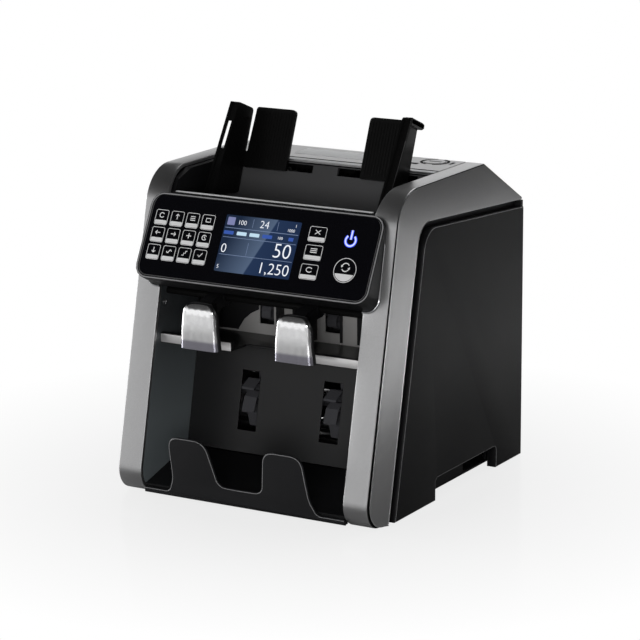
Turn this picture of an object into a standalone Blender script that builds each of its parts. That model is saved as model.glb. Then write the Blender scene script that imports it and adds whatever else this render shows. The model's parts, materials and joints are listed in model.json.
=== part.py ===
"""Two-pocket banknote counting machine, built piece by piece.

Sizes are millimetres in the machine's own frame while a shape is made: X to the right, Y to the
rear, Z up, with Y = 0 where the leaning front meets the table. An empty then carries every piece
so that the origin lies under the middle of the machine.
"""
import math

import bmesh
import bpy
from mathutils import Matrix

MM = 0.001
GAP = 0.3

# Case
PILLAR_EDGE_X = 119.5
PILLAR_INNER_X = 97.3
STRIP_INNER_X = 102.8
BAND_EDGE_X = 124.5
SIDE_X = 125.85
TOP_Z = 269.4
REAR_Y = 270.5
FRONT_LEAN = 12.6
TRIM_WALL = 3.0
TRIM_FOOT_Z = 0.4
FOOT_RADIUS = 20.0
BROW_RADIUS = 35.0
TOP_REAR_Y = 207.0
SLOPE_END_Y = 269.5
SLOPE_END_Z = 230.5
BAND_DEPTH = 33.0
GROOVE_WIDTH = 8.0
GROOVE_FRONT_Z = 239.7
GROOVE_DROP = 0.068
GROOVE_FRONT_Y = 101.6
COVER_WALL = 2.0
COVER_FOOT_Z = 0.6
PANEL_CORNER_R = 20.0
NOTCH_FRONT_Y = 111.0
NOTCH_REAR_Y = 222.0
NOTCH_Z = 20.0
NOTCH_CORNER_R = 4.0

# Control panel
PANEL_TILT = 27.5
PANEL_Y = 21.5
PANEL_Z = 187.7
GLASS_HALF = 107.3
GLASS_HEIGHT = 68.5
GLASS_WALL = 1.6
GLASS_CORNER_R = 8.0
RIM = 3.7
HOUSING_DEPTH = 24.0
HOUSING_WALL = 4.0
SCREEN_HALF = 36.0
SCREEN_LOW = 9.7
SCREEN_HIGH = 58.4
BOARD_WALL = 1.6

# Hopper
HOPPER_SLOPE = 22.0
FLOOR_Y = 60.0
FLOOR_Z = 251.0
FLOOR_LENGTH = 66.0
FLOOR_WALL = 2.5
FLOOR_LIP = 16.0
WALL_Y = 150.0
WALL_LOW = -38.0
WALL_HIGH = -3.3
WALL_THICK = 2.5
SLOT_LOW = -11.0
SLOT_HIGH = -4.0
SLOT_INNER_X = 12.0
SLOT_OUTER_X = 88.0
GUIDE_INNER_X = 36.0
GUIDE_WING_X = 79.0
GUIDE_OUTER_X = 87.5
GUIDE_WALL = 2.0
GUIDE_PLATE = 3.0
GUIDE_NOTCH = 4.0
GUIDE_NOTCH_FOOT = 1.5
GUIDE_NOTCH_LOW = 2.0
GUIDE_STRIP = 3.0
WING_FRONT_LOW = (WALL_Y - 57.0, TOP_Z - 26.4)
WING_REAR_LOW = (WALL_Y - 14.6, TOP_Z - 30.9)
WING_REAR_HIGH = (WALL_Y + 12.4, TOP_Z + 37.6)
WING_FRONT_HIGH = (WALL_Y - 11.4, TOP_Z + 46.9)
GUIDE_LOW = -12.0
GUIDE_HIGH = 41.0
GUIDE_ARM_X = 50.0
GUIDE_ARM_WIDTH = 14.0
PINION_Y = 172.0
PINION_Z = TOP_Z - 22.4
GEAR_MODULE = 1.5
PINION_TEETH = 12
RACK_WIDTH = 6.0
RACK_BACK = 4.0
RACK_REACH = 16.0

# Frames and drive line
FRAME_X = 100.2
FRAME_WALL = 2.0
SHAFT_R = 4.0
PICKUP_AT = (93.5, 226.4)
PICKUP_R = 14.0
FEED_AT = (130.0, 207.0)
FEED_R = 16.5
RETARD_AT = (152.4, 220.0)
RETARD_R = 9.0
UPPER_AT = (150.0, 173.0)
LOWER_AT = (140.0, 128.0)
TRANSPORT_R = 12.0
PINCH_R = 8.0
NIP = 0.6
DIVERTER_AT = (152.0, 152.0)
DIVERTER_R = 3.0
REJECT_AT = (114.0, 150.0)
REJECT_R = 15.0
STACKER_AT = (112.0, 72.0)
STACKER_R = 30.0
MOTOR_AT = (205.0, 70.0)
MOTOR_R = 20.0
MOTOR_LENGTH = 58.0
MOTOR_SHAFT_R = 3.0
PULLEY_R = 9.0
STACKER_PULLEY_R = 14.0
MOTOR_PULLEY_R = 7.0
PULLEY_WIDTH = 5.0
BELT_WALL = 1.3
PICKUP_PLACES = (-30.0, 30.0)
TRANSPORT_PLACES = (-60.0, 0.0, 60.0)
REJECT_PLACES = (-32.0, 32.0)
STACKER_PLACES = (-40.0, 40.0)
TIE_R = 4.0
TIE_PLACES = (("upper", (205.0, 232.0)), ("lower", (136.0, 36.0)))

# Pockets
LINER_WALL = 2.5
LINER_REAR_Y = 99.0
LINER_TOP_Z = 176.0
SHELF_Y = 38.0
SHELF_Z = 126.0
SHELF_BAR = 8.0
SHELF_CUT_X = 27.0
SHELF_CUT_Y = 62.0
REJECT_WALL_Y = 103.0
REJECT_TOP_Z = 173.0
STOPPER_X = 45.0
STOPPER_WIDTH = 36.0
STOPPER_Y = 14.0
STOPPER_LOW = 130.0
STOPPER_HIGH = 168.0
STOPPER_WALL = 4.0
STOPPER_PIVOT = (52.0, 168.0)
STOPPER_ROD_R = 3.0
STOPPER_HUB_R = 6.6
ARM_WIDTH = 12.0
GATE_FOOT_Y = 9.6
GATE_FOOT_Z = 2.5
GATE_LEAN = -14.6
GATE_WALL = 3.0
GATE_HUMP_Z = 59.0
GATE_HUMP_X = 45.0
GATE_HUMP_HALF = 19.0
GATE_DIP_Z = 19.0
GATE_LIP_Z = 7.5
STACK_FLOOR_Y = 11.2
STACK_FLOOR_Z = 10.0
STACK_FLOOR_LENGTH = 65.0
STACK_WALL_Y = 86.0
STACK_WALL_LEAN = 12.0
SHEET_WALL = 1.5

# Base and rear
BASE_FRONT_Y = 38.0
WALL_SPLIT_Y = 180.0
BASE_X = 115.5
BASE_Z = 4.0
BASE_WALL = 2.5
FOOT_R = 8.0
FOOT_X = 100.0
FOOT_FRONT_Y = 56.0
FOOT_REAR_Y = REAR_Y - 22.5
DOOR_X = 101.8
DOOR_WALL = 2.5
HINGE_Z = 60.0
HINGE_R = 2.4
HINGE_PIN_R = 1.0
REAR_PANEL_TOP = 57.0
REAR_HOLE_Z = (18.0, 44.0)
INLET_X = (55.0, 83.0)
INLET_DEPTH = 20.0
SWITCH_X = (24.0, 44.0)
SWITCH_DEPTH = 9.0
PORT_Z = (22.0, 34.0)
PORT_WIDTH = 14.0
SUPPLY_X = (-10.0, 92.0)
SUPPLY_FRONT_Y = 150.0
SUPPLY_REAR_Y = REAR_Y - 32.5
SUPPLY_TOP_Z = 42.0
MAIN_BOARD_Y = REAR_Y - 26.5
MAIN_BOARD_TOP_Z = 200.0
PORT_PLACES = (-76.0, -50.0, -24.0)
KNOB_AT = (80.0, 194.0)
KNOB_R = 9.0

LEAN = math.tan(math.radians(FRONT_LEAN))
GATE_SIN = math.sin(math.radians(GATE_LEAN))
GATE_COS = math.cos(math.radians(GATE_LEAN))
GATE_FRONT_Y = GATE_FOOT_Y + (GATE_HUMP_Z - GATE_FOOT_Z) * GATE_SIN / GATE_COS
MIDDLE_Y = (GATE_FRONT_Y + REAR_Y) / 2.0
BASE_TOP = BASE_Z + BASE_WALL

for old in list(bpy.data.objects):
    bpy.data.objects.remove(old, do_unlink=True)

root = bpy.data.objects.new("machine_origin", None)
root.location = (0.0, -MIDDLE_Y * MM, 0.0)
bpy.context.collection.objects.link(root)


def finish(name, colour, roughness, metallic=0.0, alpha=1.0):
    """Make one material."""
    made = bpy.data.materials.new(name)
    made.use_nodes = True
    shader = made.node_tree.nodes["Principled BSDF"]
    shader.inputs["Base Color"].default_value = (*colour, 1.0)
    shader.inputs["Roughness"].default_value = roughness
    shader.inputs["Metallic"].default_value = metallic
    shader.inputs["Alpha"].default_value = alpha
    return made


SILVER = finish("silver_paint", (0.30, 0.30, 0.31), 0.45, 0.6)
BLACK = finish("black_plastic", (0.015, 0.015, 0.016), 0.45)
GLOSS = finish("gloss_black", (0.01, 0.01, 0.012), 0.08)
SCREEN = finish("screen", (0.03, 0.06, 0.15), 0.1)
BOARD = finish("board_green", (0.02, 0.16, 0.07), 0.5)
STEEL = finish("steel", (0.55, 0.55, 0.56), 0.35, 1.0)
SHEET = finish("grey_sheet", (0.52, 0.53, 0.54), 0.5, 0.3)
RUBBER = finish("rubber", (0.03, 0.03, 0.03), 0.9)
GREY_RUBBER = finish("grey_rubber", (0.10, 0.10, 0.11), 0.85)
CLEAR = finish("clear_plastic", (0.78, 0.78, 0.82), 0.2, 0.0, 0.7)


# Shapes as lists of corners and faces


def prism(axis, outline, low, high):
    """Carry a closed outline along one axis, from low to high."""
    order = {"x": (2, 0, 1), "y": (0, 2, 1), "z": (0, 1, 2)}[axis]
    count = len(outline)
    corners = []
    for end in (low, high):
        for a, b in outline:
            point = (a, b, end)
            corners.append(tuple(point[place] for place in order))
    faces = [tuple(range(count)), tuple(range(count, 2 * count))]
    for i in range(count):
        j = (i + 1) % count
        faces.append((i, j, count + j, count + i))
    return corners, faces


def block(x, y, z):
    """A box from three pairs of limits."""
    return prism("z", ((x[0], y[0]), (x[1], y[0]), (x[1], y[1]), (x[0], y[1])), *z)


def circle(centre, radius, count, start=0.0, turn=2 * math.pi):
    """Points round a circle or part of one."""
    whole = abs(turn - 2 * math.pi) < 1e-9
    steps = count if whole else count - 1
    angles = [start + turn * i / steps for i in range(count)]
    return [(centre[0] + radius * math.cos(a), centre[1] + radius * math.sin(a)) for a in angles]


def rod(centre, radius, low, high, count=12):
    """A round bar along X."""
    return prism("x", circle(centre, radius, count), low, high)


def ring(outer, inner, low, high, axis="x"):
    """A band along one axis between two outlines with as many points each."""
    count = len(outer)
    corners = prism(axis, outer, low, high)[0] + prism(axis, inner, low, high)[0]
    faces = []
    for i in range(count):
        j = (i + 1) % count
        faces.append((i, j, count + j, count + i))
        faces.append((2 * count + j, 2 * count + i, 3 * count + i, 3 * count + j))
        faces.append((j, i, 2 * count + i, 2 * count + j))
        faces.append((count + i, count + j, 3 * count + j, 3 * count + i))
    return corners, faces


def rounded(x, y, radius, count=5):
    """A rectangle with round corners."""
    outline = []
    for cx, cy, start in ((x[1], y[1], 0), (x[0], y[1], 90), (x[0], y[0], 180), (x[1], y[0], 270)):
        centre = (cx - math.copysign(radius, cx - sum(x) / 2), cy - math.copysign(radius, cy - sum(y) / 2))
        outline += circle(centre, radius, count, math.radians(start), math.pi / 2)
    return outline


def softened(corners, reaches, count=5):
    """Each corner of an outline becomes a curve: the square-law blend of its two sides over a reach."""
    outline = []
    for i, corner in enumerate(corners):
        ends = []
        for other in (corners[i - 1], corners[(i + 1) % len(corners)]):
            share = reaches[i] / math.dist(corner, other)
            ends.append([c + (o - c) * share for c, o in zip(corner, other)])
        for step in range(count):
            t = step / (count - 1)
            outline.append(tuple((1 - t) ** 2 * a + 2 * t * (1 - t) * c + t ** 2 * b
                                 for a, c, b in zip(ends[0], corner, ends[1])))
    return outline


def mapped(solid, place):
    """Move each corner with a function."""
    corners, faces = solid
    return [place(*corner) for corner in corners], faces


def mirrored(solid):
    """The same shape on the other side of the machine."""
    return mapped(solid, lambda x, y, z: (-x, y, z))


def on_panel(solid):
    """From the panel's own frame (across, out, up the panel) to the machine's."""
    sin, cos = math.sin(math.radians(PANEL_TILT)), math.cos(math.radians(PANEL_TILT))
    return mapped(solid, lambda u, w, v: (u, PANEL_Y + v * sin - w * cos, PANEL_Z + v * cos + w * sin))


def on_slope(solid):
    """From the hopper floor's frame (across, rearwards down the slope, up from it)."""
    sin, cos = math.sin(math.radians(HOPPER_SLOPE)), math.cos(math.radians(HOPPER_SLOPE))
    return mapped(solid, lambda x, a, b: (x, FLOOR_Y + a * cos + b * sin, FLOOR_Z - a * sin + b * cos))


def on_wall(solid):
    """From the hopper wall's frame (across, out towards the front, up the wall)."""
    sin, cos = math.sin(math.radians(HOPPER_SLOPE)), math.cos(math.radians(HOPPER_SLOPE))
    return mapped(solid, lambda x, n, s: (x, WALL_Y + s * sin - n * cos, TOP_Z + s * cos + n * sin))


def on_gate(solid):
    """From the gate's frame (across, out towards the front, height above its foot)."""
    shift = GATE_SIN / GATE_COS
    return mapped(solid, lambda x, n, h: (x, GATE_FOOT_Y + h * shift - n, GATE_FOOT_Z + h))


# Objects


def mesh_of(name, solids):
    """One mesh from several separate closed shapes, all facing outwards."""
    shape = bmesh.new()
    for corners, faces in solids:
        points = [shape.verts.new([c * MM for c in corner]) for corner in corners]
        for face in faces:
            shape.faces.new([points[i] for i in face])
    bmesh.ops.recalc_face_normals(shape, faces=shape.faces)
    mesh = bpy.data.meshes.new(name)
    shape.to_mesh(mesh)
    shape.free()
    return mesh


def tool(owner, name, solids, operation):
    """Cut a shape from a piece, or join it on, and keep the tool out of the model."""
    helper = bpy.data.objects.new(name, mesh_of(name, solids))
    helper.parent = root
    helper.hide_render = True
    helper.display_type = "WIRE"
    bpy.context.collection.objects.link(helper)
    step = owner.modifiers.new(operation.lower(), "BOOLEAN")
    step.operation = operation
    step.solver = "EXACT"
    step.object = helper


def piece(name, material, solids, join=(), cut=()):
    """One named piece, with shapes joined on and shapes cut out."""
    made = bpy.data.objects.new(name, mesh_of(name, solids))
    made.data.materials.append(material)
    made.data.shade_smooth()
    made.data.set_sharp_from_angle(angle=math.radians(35))
    made.parent = root
    bpy.context.collection.objects.link(made)
    for number, solid in enumerate(join):
        tool(made, f"{name}_join_{number}", [solid], "UNION")
    for number, solid in enumerate(cut):
        tool(made, f"{name}_cut_{number}", [solid], "DIFFERENCE")
    return made


def turning(made, at, x=0.0):
    """Put a moving piece's origin on its own axis, leaving its shape where it is."""
    centre = (x * MM, at[0] * MM, at[1] * MM)
    made.data.transform(Matrix.Translation([-c for c in centre]))
    made.location = centre


# Case


def lean_y(z):
    """Where the front of the machine lies at a height."""
    return z * LEAN


def groove_z(y):
    """Upper edge of the groove that runs round the raised side panel."""
    return GROOVE_FRONT_Z - (y - GROOVE_FRONT_Y) * GROOVE_DROP


def foot_centre():
    """Centre of the round front edge at the foot, in Y and Z."""
    foot_z = TRIM_FOOT_Z + FOOT_RADIUS
    lean = math.radians(FRONT_LEAN)
    return (FOOT_RADIUS + foot_z * math.sin(lean)) / math.cos(lean), foot_z


def trim_stations():
    """Outline points of the trim, each with its inward normal, inner X and band edge."""
    stations = []
    foot_y, foot_z = foot_centre()
    sweep = 90.0 + FRONT_LEAN
    stations.append((foot_y + 5, TRIM_FOOT_Z, 0.0, 1.0, PILLAR_INNER_X, foot_y + 9, TRIM_FOOT_Z))
    for i in range(5):
        turn = math.radians(-90.0 - sweep * i / 4)
        y, z = foot_y + FOOT_RADIUS * math.cos(turn), foot_z + FOOT_RADIUS * math.sin(turn)
        edge_y = BAND_DEPTH + lean_y(z)
        stations.append((y, z, -math.cos(turn), -math.sin(turn), PILLAR_INNER_X, edge_y, z))
    brow_z = TOP_Z - BROW_RADIUS
    brow_y = lean_y(brow_z) + BROW_RADIUS / math.cos(math.radians(FRONT_LEAN))
    corner_y = GROOVE_FRONT_Y
    corner_z = GROOVE_FRONT_Z - PANEL_CORNER_R
    for i in range(6):
        share = i / 5
        turn = math.radians(180.0 - FRONT_LEAN - (90.0 - FRONT_LEAN) * share)
        y, z = brow_y + BROW_RADIUS * math.cos(turn), brow_z + BROW_RADIUS * math.sin(turn)
        inner = PILLAR_INNER_X + (STRIP_INNER_X - PILLAR_INNER_X) * share
        edge_y = corner_y + PANEL_CORNER_R * math.cos(turn)
        edge_z = corner_z + PANEL_CORNER_R * math.sin(turn)
        stations.append((y, z, -math.cos(turn), -math.sin(turn), inner, edge_y, edge_z))
    slope = math.atan2(TOP_Z - SLOPE_END_Z, SLOPE_END_Y - TOP_REAR_Y)
    half = slope / 2
    stations.append((TOP_REAR_Y, TOP_Z, -math.sin(half), -math.cos(half), STRIP_INNER_X,
                     TOP_REAR_Y, groove_z(TOP_REAR_Y)))
    stations.append((SLOPE_END_Y, SLOPE_END_Z, -math.sin(slope), -math.cos(slope), STRIP_INNER_X,
                     SLOPE_END_Y, groove_z(SLOPE_END_Y)))
    return stations


def corner_x(y, z, edge_z):
    """X of the trim's outer corner: on the rear slope it runs out along the slanting band's plane."""
    if y < TOP_REAR_Y:
        return PILLAR_EDGE_X
    return PILLAR_EDGE_X + (BAND_EDGE_X - PILLAR_EDGE_X) * (TOP_Z - z) / (TOP_Z - edge_z)


def trim_solid():
    """The right trim: front face, top strip and slanting side band in one sweep."""
    corners = []
    lap_x = PILLAR_EDGE_X - 0.2
    for y, z, ny, nz, inner, edge_y, edge_z in trim_stations():
        back_y, back_z = y + TRIM_WALL * ny, z + TRIM_WALL * nz
        corners += [(inner, y, z), (corner_x(y, z, edge_z), y, z), (BAND_EDGE_X, edge_y, edge_z),
                    (lap_x, edge_y, edge_z), (lap_x, back_y, back_z), (inner, back_y, back_z)]
    rows, width = len(corners) // 6, 6
    faces = [tuple(range(width)), tuple((rows - 1) * width + i for i in range(width))]
    for row in range(rows - 1):
        for i in range(width):
            j = (i + 1) % width
            faces.append((row * width + i, row * width + j, (row + 1) * width + j, (row + 1) * width + i))
    return corners, faces


def cover_plate():
    """The flat inner plate of a side cover, clear of the trim all round."""
    inset = TRIM_WALL + 2.0
    outline = [(lean_y(26) + inset, 26), (36, COVER_FOOT_Z + 2 * inset), (36, COVER_FOOT_Z),
               (REAR_Y, COVER_FOOT_Z)]
    outline += [(REAR_Y, SLOPE_END_Z - 4.5), (TOP_REAR_Y - 2, TOP_Z - 2 * inset), (94, TOP_Z - inset - 2)]
    outline += [(lean_y(240) + inset + 2, 240)]
    return prism("x", outline, PILLAR_EDGE_X - COVER_WALL - 0.5, PILLAR_EDGE_X - 0.5)


def cover_panel():
    """The raised outer panel of a side cover."""
    front = BAND_DEPTH + GROOVE_WIDTH
    top_y = GROOVE_FRONT_Y + GROOVE_WIDTH
    centre = (top_y, GROOVE_FRONT_Z - GROOVE_WIDTH - PANEL_CORNER_R + 2)
    outline = [(front + lean_y(COVER_FOOT_Z), COVER_FOOT_Z)]
    outline += circle(centre, PANEL_CORNER_R, 6, math.radians(180 - FRONT_LEAN),
                      math.radians(FRONT_LEAN - 94))
    outline += [(REAR_Y, groove_z(REAR_Y) - GROOVE_WIDTH + 2), (REAR_Y, COVER_FOOT_Z)]
    return prism("x", outline, PILLAR_EDGE_X - 1.0, SIDE_X)


def cover_cuts():
    """The hand-hold notch at the foot of a side cover."""
    span = (PILLAR_EDGE_X - 20.0, SIDE_X + 5.0)
    return [prism("x", rounded((NOTCH_FRONT_Y, NOTCH_REAR_Y), (-NOTCH_Z, NOTCH_Z), NOTCH_CORNER_R), *span)]


def make_case():
    """Trims, side covers, top cover, rear door and base."""
    return_x = (DOOR_X + 0.6, PILLAR_EDGE_X - 1.0)
    rear_return = block(return_x, (REAR_Y - DOOR_WALL, REAR_Y), (COVER_FOOT_Z, SLOPE_END_Z - 6))
    for side, flip in (("right", lambda s: s), ("left", mirrored)):
        piece(f"{side}_trim", SILVER, [flip(trim_solid())])
        piece(f"{side}_side_cover", BLACK, [flip(cover_plate())], [flip(cover_panel()), flip(rear_return)],
              [flip(c) for c in cover_cuts()])
    top = block((-STRIP_INNER_X + GAP, STRIP_INNER_X - GAP), (WALL_Y + 0.5, TOP_REAR_Y),
                (TOP_Z - 2.5, TOP_Z))
    hole = prism("z", circle(KNOB_AT, KNOB_R + 0.4, 20), TOP_Z - 10, TOP_Z + 10)
    piece("top_cover", SILVER, [top], cut=[hole])
    slot = block((KNOB_AT[0] - 6, KNOB_AT[0] + 6), (KNOB_AT[1] - 1, KNOB_AT[1] + 1),
                 (TOP_Z - 1.0, TOP_Z + 5))
    head = prism("z", circle(KNOB_AT, KNOB_R, 20), TOP_Z - 6, TOP_Z + 0.4)
    stem = prism("z", circle(KNOB_AT, SHAFT_R - 1, 12), TOP_Z - 20, TOP_Z - 5)
    knob = piece("gap_knob", BLACK, [head], [stem], [slot])
    turning(knob, (KNOB_AT[1], TOP_Z), KNOB_AT[0])

    base_end = REAR_Y - 6
    tray = block((-BASE_X, BASE_X), (BASE_FRONT_Y, base_end), (BASE_Z, BASE_TOP))
    walls = []
    for span in ((BASE_FRONT_Y, WALL_SPLIT_Y), (NOTCH_REAR_Y, base_end)):
        wall = block((BASE_X - BASE_WALL, BASE_X), span, (BASE_Z, NOTCH_Z + 0.5))
        walls += [wall, mirrored(wall)]
    piece("base_tray", BLACK, [tray], walls)
    for name, y in (("front", FOOT_FRONT_Y), ("rear", FOOT_REAR_Y)):
        strip = rounded((-FOOT_X, FOOT_X), (y - FOOT_R, y + FOOT_R), FOOT_R)
        piece(f"{name}_foot_strip", RUBBER, [prism("z", strip, 0.0, BASE_Z - GAP)])


def make_door():
    """Sloping rear door on its hinge pin, and the fixed panel below it."""
    wide = (-DOOR_X, DOOR_X)
    slope = math.atan2(TOP_Z - SLOPE_END_Z, SLOPE_END_Y - TOP_REAR_Y)
    bend_z = TOP_Z - (REAR_Y - TOP_REAR_Y) * math.tan(slope)
    lift = DOOR_WALL / math.cos(slope)
    low = HINGE_Z + HINGE_R + 0.4
    inner = REAR_Y - DOOR_WALL
    start = TOP_REAR_Y + 0.6
    start_z = TOP_Z - 0.6 * math.tan(slope)
    outline = [(start, start_z), (REAR_Y, bend_z), (REAR_Y, low), (inner, low),
               (inner, bend_z - lift + 1.5), (start, start_z - lift)]
    axis = (REAR_Y - HINGE_R, HINGE_Z)
    middle = 60.0
    bore = rod(axis, HINGE_PIN_R + 0.15, -DOOR_X - 5, DOOR_X + 5, 10)
    knuckle = (-middle + 0.4, middle - 0.4)
    web = block(knuckle, (inner + 0.2, REAR_Y - 0.4), (HINGE_Z + HINGE_PIN_R + 0.6, low + 1))
    door = piece("rear_door", BLACK, [prism("x", outline, *wide)], [rod(axis, HINGE_R, *knuckle), web],
                 [bore])
    turning(door, axis)
    panel = block(wide, (inner, REAR_Y), (BASE_TOP + GAP, REAR_PANEL_TOP))
    ears = []
    for low_x, high_x in ((-DOOR_X, -middle), (middle, DOOR_X)):
        ears.append(rod(axis, HINGE_R, low_x, high_x))
        ears.append(block((low_x, high_x), (inner + 0.2, REAR_Y - 0.4),
                          (REAR_PANEL_TOP - 1, HINGE_Z - HINGE_PIN_R - 0.6)))
    through = (inner - 5, REAR_Y + 5)
    holes = [block(x, through, REAR_HOLE_Z) for x in (INLET_X, SWITCH_X)]
    holes += [block((x, x + PORT_WIDTH), through, PORT_Z) for x in PORT_PLACES]
    holes.append(bore)
    piece("rear_panel", BLACK, [panel], ears, holes)
    piece("door_hinge_pin", STEEL, [rod(axis, HINGE_PIN_R, -DOOR_X + 1, DOOR_X - 1, 8)])
    low, high = REAR_HOLE_Z
    centre = (INLET_X[0] + INLET_X[1]) / 2
    middle_z = (low + high) / 2
    shell = block((INLET_X[0] + GAP, INLET_X[1] - GAP), (REAR_Y - INLET_DEPTH, REAR_Y),
                  (low + GAP, high - GAP))
    socket = block((INLET_X[0] + 2, INLET_X[1] - 2), (REAR_Y - 9, REAR_Y + 1), (low + 3, high - 3))
    pins = [block((x - 1, x + 1), (REAR_Y - 10, REAR_Y - 2), (middle_z - 2, middle_z + 2))
            for x in (centre - 7, centre, centre + 7)]
    piece("power_inlet", BLACK, [shell], pins, [socket])
    back_y = REAR_Y - SWITCH_DEPTH
    rocker_side = [(back_y, low + 2), (REAR_Y - 1.6, low + 2), (REAR_Y - 2.6, middle_z)]
    rocker_side += [(REAR_Y, high - 2), (back_y, high - 2)]
    rocker = piece("power_switch", BLACK, [prism("x", rocker_side, SWITCH_X[0] + 0.5, SWITCH_X[1] - 0.5)])
    turning(rocker, (back_y, middle_z), (SWITCH_X[0] + SWITCH_X[1]) / 2)


# Control panel


def make_panel():
    """Wedge-shaped housing, overlay, display and control board."""
    body = prism("y", rounded((-GLASS_HALF - RIM, GLASS_HALF + RIM), (-RIM, GLASS_HEIGHT + RIM * 0.7),
                              GLASS_CORNER_R + RIM),
                 -HOUSING_DEPTH, 0.0)
    behind = prism("x", [(lean_y(150) - 0.5, 150), (lean_y(280) - 0.5, 280), (140, 280), (140, 150)],
                   -140, 140)
    pocket = prism("y", rounded((-PILLAR_INNER_X + 2, PILLAR_INNER_X - 2), (1, GLASS_HEIGHT - 7), 6),
                   -60, -HOUSING_WALL)
    recess = prism("y", rounded((-GLASS_HALF - GAP, GLASS_HALF + GAP), (-GAP, GLASS_HEIGHT + GAP),
                                GLASS_CORNER_R),
                   -GLASS_WALL - 0.1, 5)
    window = prism("y", rounded((-SCREEN_HALF, SCREEN_HALF), (SCREEN_LOW, SCREEN_HIGH), 1.0, 2), -30, 8)
    piece("panel_housing", BLACK, [on_panel(body)],
          cut=[behind] + [on_panel(s) for s in (pocket, recess, window)])
    glass = prism("y", rounded((-GLASS_HALF, GLASS_HALF), (0, GLASS_HEIGHT), GLASS_CORNER_R),
                  -GLASS_WALL + 0.2, 0.2)
    piece("panel_overlay", GLOSS, [on_panel(glass)], cut=[on_panel(window)])
    screen = prism("y", rounded((-SCREEN_HALF + GAP, SCREEN_HALF - GAP),
                                (SCREEN_LOW + GAP, SCREEN_HIGH - GAP), 1.0, 2),
                   -HOUSING_WALL, 0.0)
    piece("display_module", SCREEN, [on_panel(screen)])
    board = block((-90, 90), (-HOUSING_WALL - GAP - BOARD_WALL, -HOUSING_WALL - GAP), (4, SCREEN_HIGH - 4))
    piece("control_board", BOARD, [on_panel(board)])


# Hopper


def involute_gear(centre, teeth, module, backlash):
    """Outline of a spur gear with 20 degree flanks, a tooth pointing along the first axis."""
    pitch = module * teeth / 2
    base = pitch * math.cos(math.radians(20))
    tip, foot = pitch + 0.9 * module, pitch - 1.15 * module
    outline = []
    half = math.pi / 2 / teeth - backlash / (2 * pitch)
    skew = math.tan(math.radians(20)) - math.radians(20)
    radii = [max(base, foot) + (tip - max(base, foot)) * i / 3 for i in range(4)]
    for tooth in range(teeth):
        middle = 2 * math.pi * tooth / teeth
        flank = []
        for radius in radii:
            roll = math.acos(min(1.0, base / radius))
            flank.append((radius, half + skew - (math.tan(roll) - roll)))
        side = [(foot, flank[0][1] + 0.02)] + flank
        for radius, angle in side:
            outline.append((centre[0] + radius * math.cos(middle - angle),
                            centre[1] + radius * math.sin(middle - angle)))
        for radius, angle in reversed(side):
            outline.append((centre[0] + radius * math.cos(middle + angle),
                            centre[1] + radius * math.sin(middle + angle)))
    return outline


def rack_outline(low, high, pitch_z, way, phase, backlash):
    """Outline of a straight rack in X and Z, its teeth pointing the given way."""
    step = math.pi * GEAR_MODULE
    flank = math.tan(math.radians(20))
    tip, foot = 0.9 * GEAR_MODULE, 1.15 * GEAR_MODULE
    half = step / 4 - backlash / 2
    outline = [(high, pitch_z - way * (foot + RACK_BACK)), (low, pitch_z - way * (foot + RACK_BACK)),
               (low, pitch_z - way * foot)]
    first = math.ceil((low + step / 2 - phase) / step)
    last = math.floor((high - step / 2 - phase) / step)
    for number in range(first, last + 1):
        x = phase + number * step
        outline += [(x - half - foot * flank, pitch_z - way * foot),
                    (x - half + tip * flank, pitch_z + way * tip),
                    (x + half - tip * flank, pitch_z + way * tip),
                    (x + half + foot * flank, pitch_z - way * foot)]
    outline.append((high, pitch_z - way * foot))
    return outline


def shifted(point, along, up):
    """A point moved in its plane."""
    return (point[0] + along, point[1] + up)


def guide_solids():
    """The right note guide: side wing, back plate, arm through the wall, and the wing's outer loop."""
    outer_x = GUIDE_WING_X - GUIDE_NOTCH
    foot_x = GUIDE_WING_X - GUIDE_NOTCH_FOOT
    back_side = [(GUIDE_INNER_X, GUIDE_LOW), (foot_x, GUIDE_LOW), (outer_x, GUIDE_HIGH),
                 (GUIDE_INNER_X, GUIDE_HIGH)]
    back = on_wall(prism("y", softened(back_side, (1.5, 1.5, 2.5, 4.0)), 1.0, 1.0 + GUIDE_PLATE))
    root_plate = on_wall(block((GUIDE_INNER_X + 1, GUIDE_WING_X + 1), (1.2, 0.8 + GUIDE_PLATE),
                               (GUIDE_LOW + 2.0, GUIDE_NOTCH_LOW)))
    arm = on_wall(block((GUIDE_ARM_X, GUIDE_ARM_X + GUIDE_ARM_WIDTH), (-12.0, 2.0),
                        (SLOT_LOW + 1.5, SLOT_HIGH - 1.5)))
    front_low, front_high = WING_FRONT_LOW, WING_FRONT_HIGH
    rear_high = WING_REAR_HIGH
    wing_side = softened([front_low, WING_REAR_LOW, rear_high, front_high], (4.0, 3.0, 3.5, 3.5))
    wing = prism("x", wing_side, GUIDE_WING_X, GUIDE_WING_X + GUIDE_WALL)
    strip_side = [front_low, shifted(front_low, GUIDE_STRIP, 0), shifted(front_high, GUIDE_STRIP, -1),
                  front_high]
    strip = prism("x", softened(strip_side, (1.4, 1.0, 1.0, 1.4)),
                  GUIDE_OUTER_X - GUIDE_WALL, GUIDE_OUTER_X)
    across = (GUIDE_WING_X + 0.2, GUIDE_OUTER_X - 0.2)
    cap_side = [shifted(front_high, 0.4, -0.5), shifted(rear_high, -0.8, -0.4),
                shifted(rear_high, -2.2, -4), shifted(front_high, -1.2, -4)]
    cap = prism("x", softened(cap_side, (1.8, 1.8, 0.3, 0.3)), *across)
    toe_side = [shifted(front_low, 1, 0.5), shifted(front_low, 5.5, 0.3),
                shifted(front_low, 7.5, 5), shifted(front_low, 4, 5)]
    toe = prism("x", softened(toe_side, (2.0, 0.4, 0.4, 0.4)), *across)
    return wing, (back, root_plate, arm, cap, toe, strip)


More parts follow.
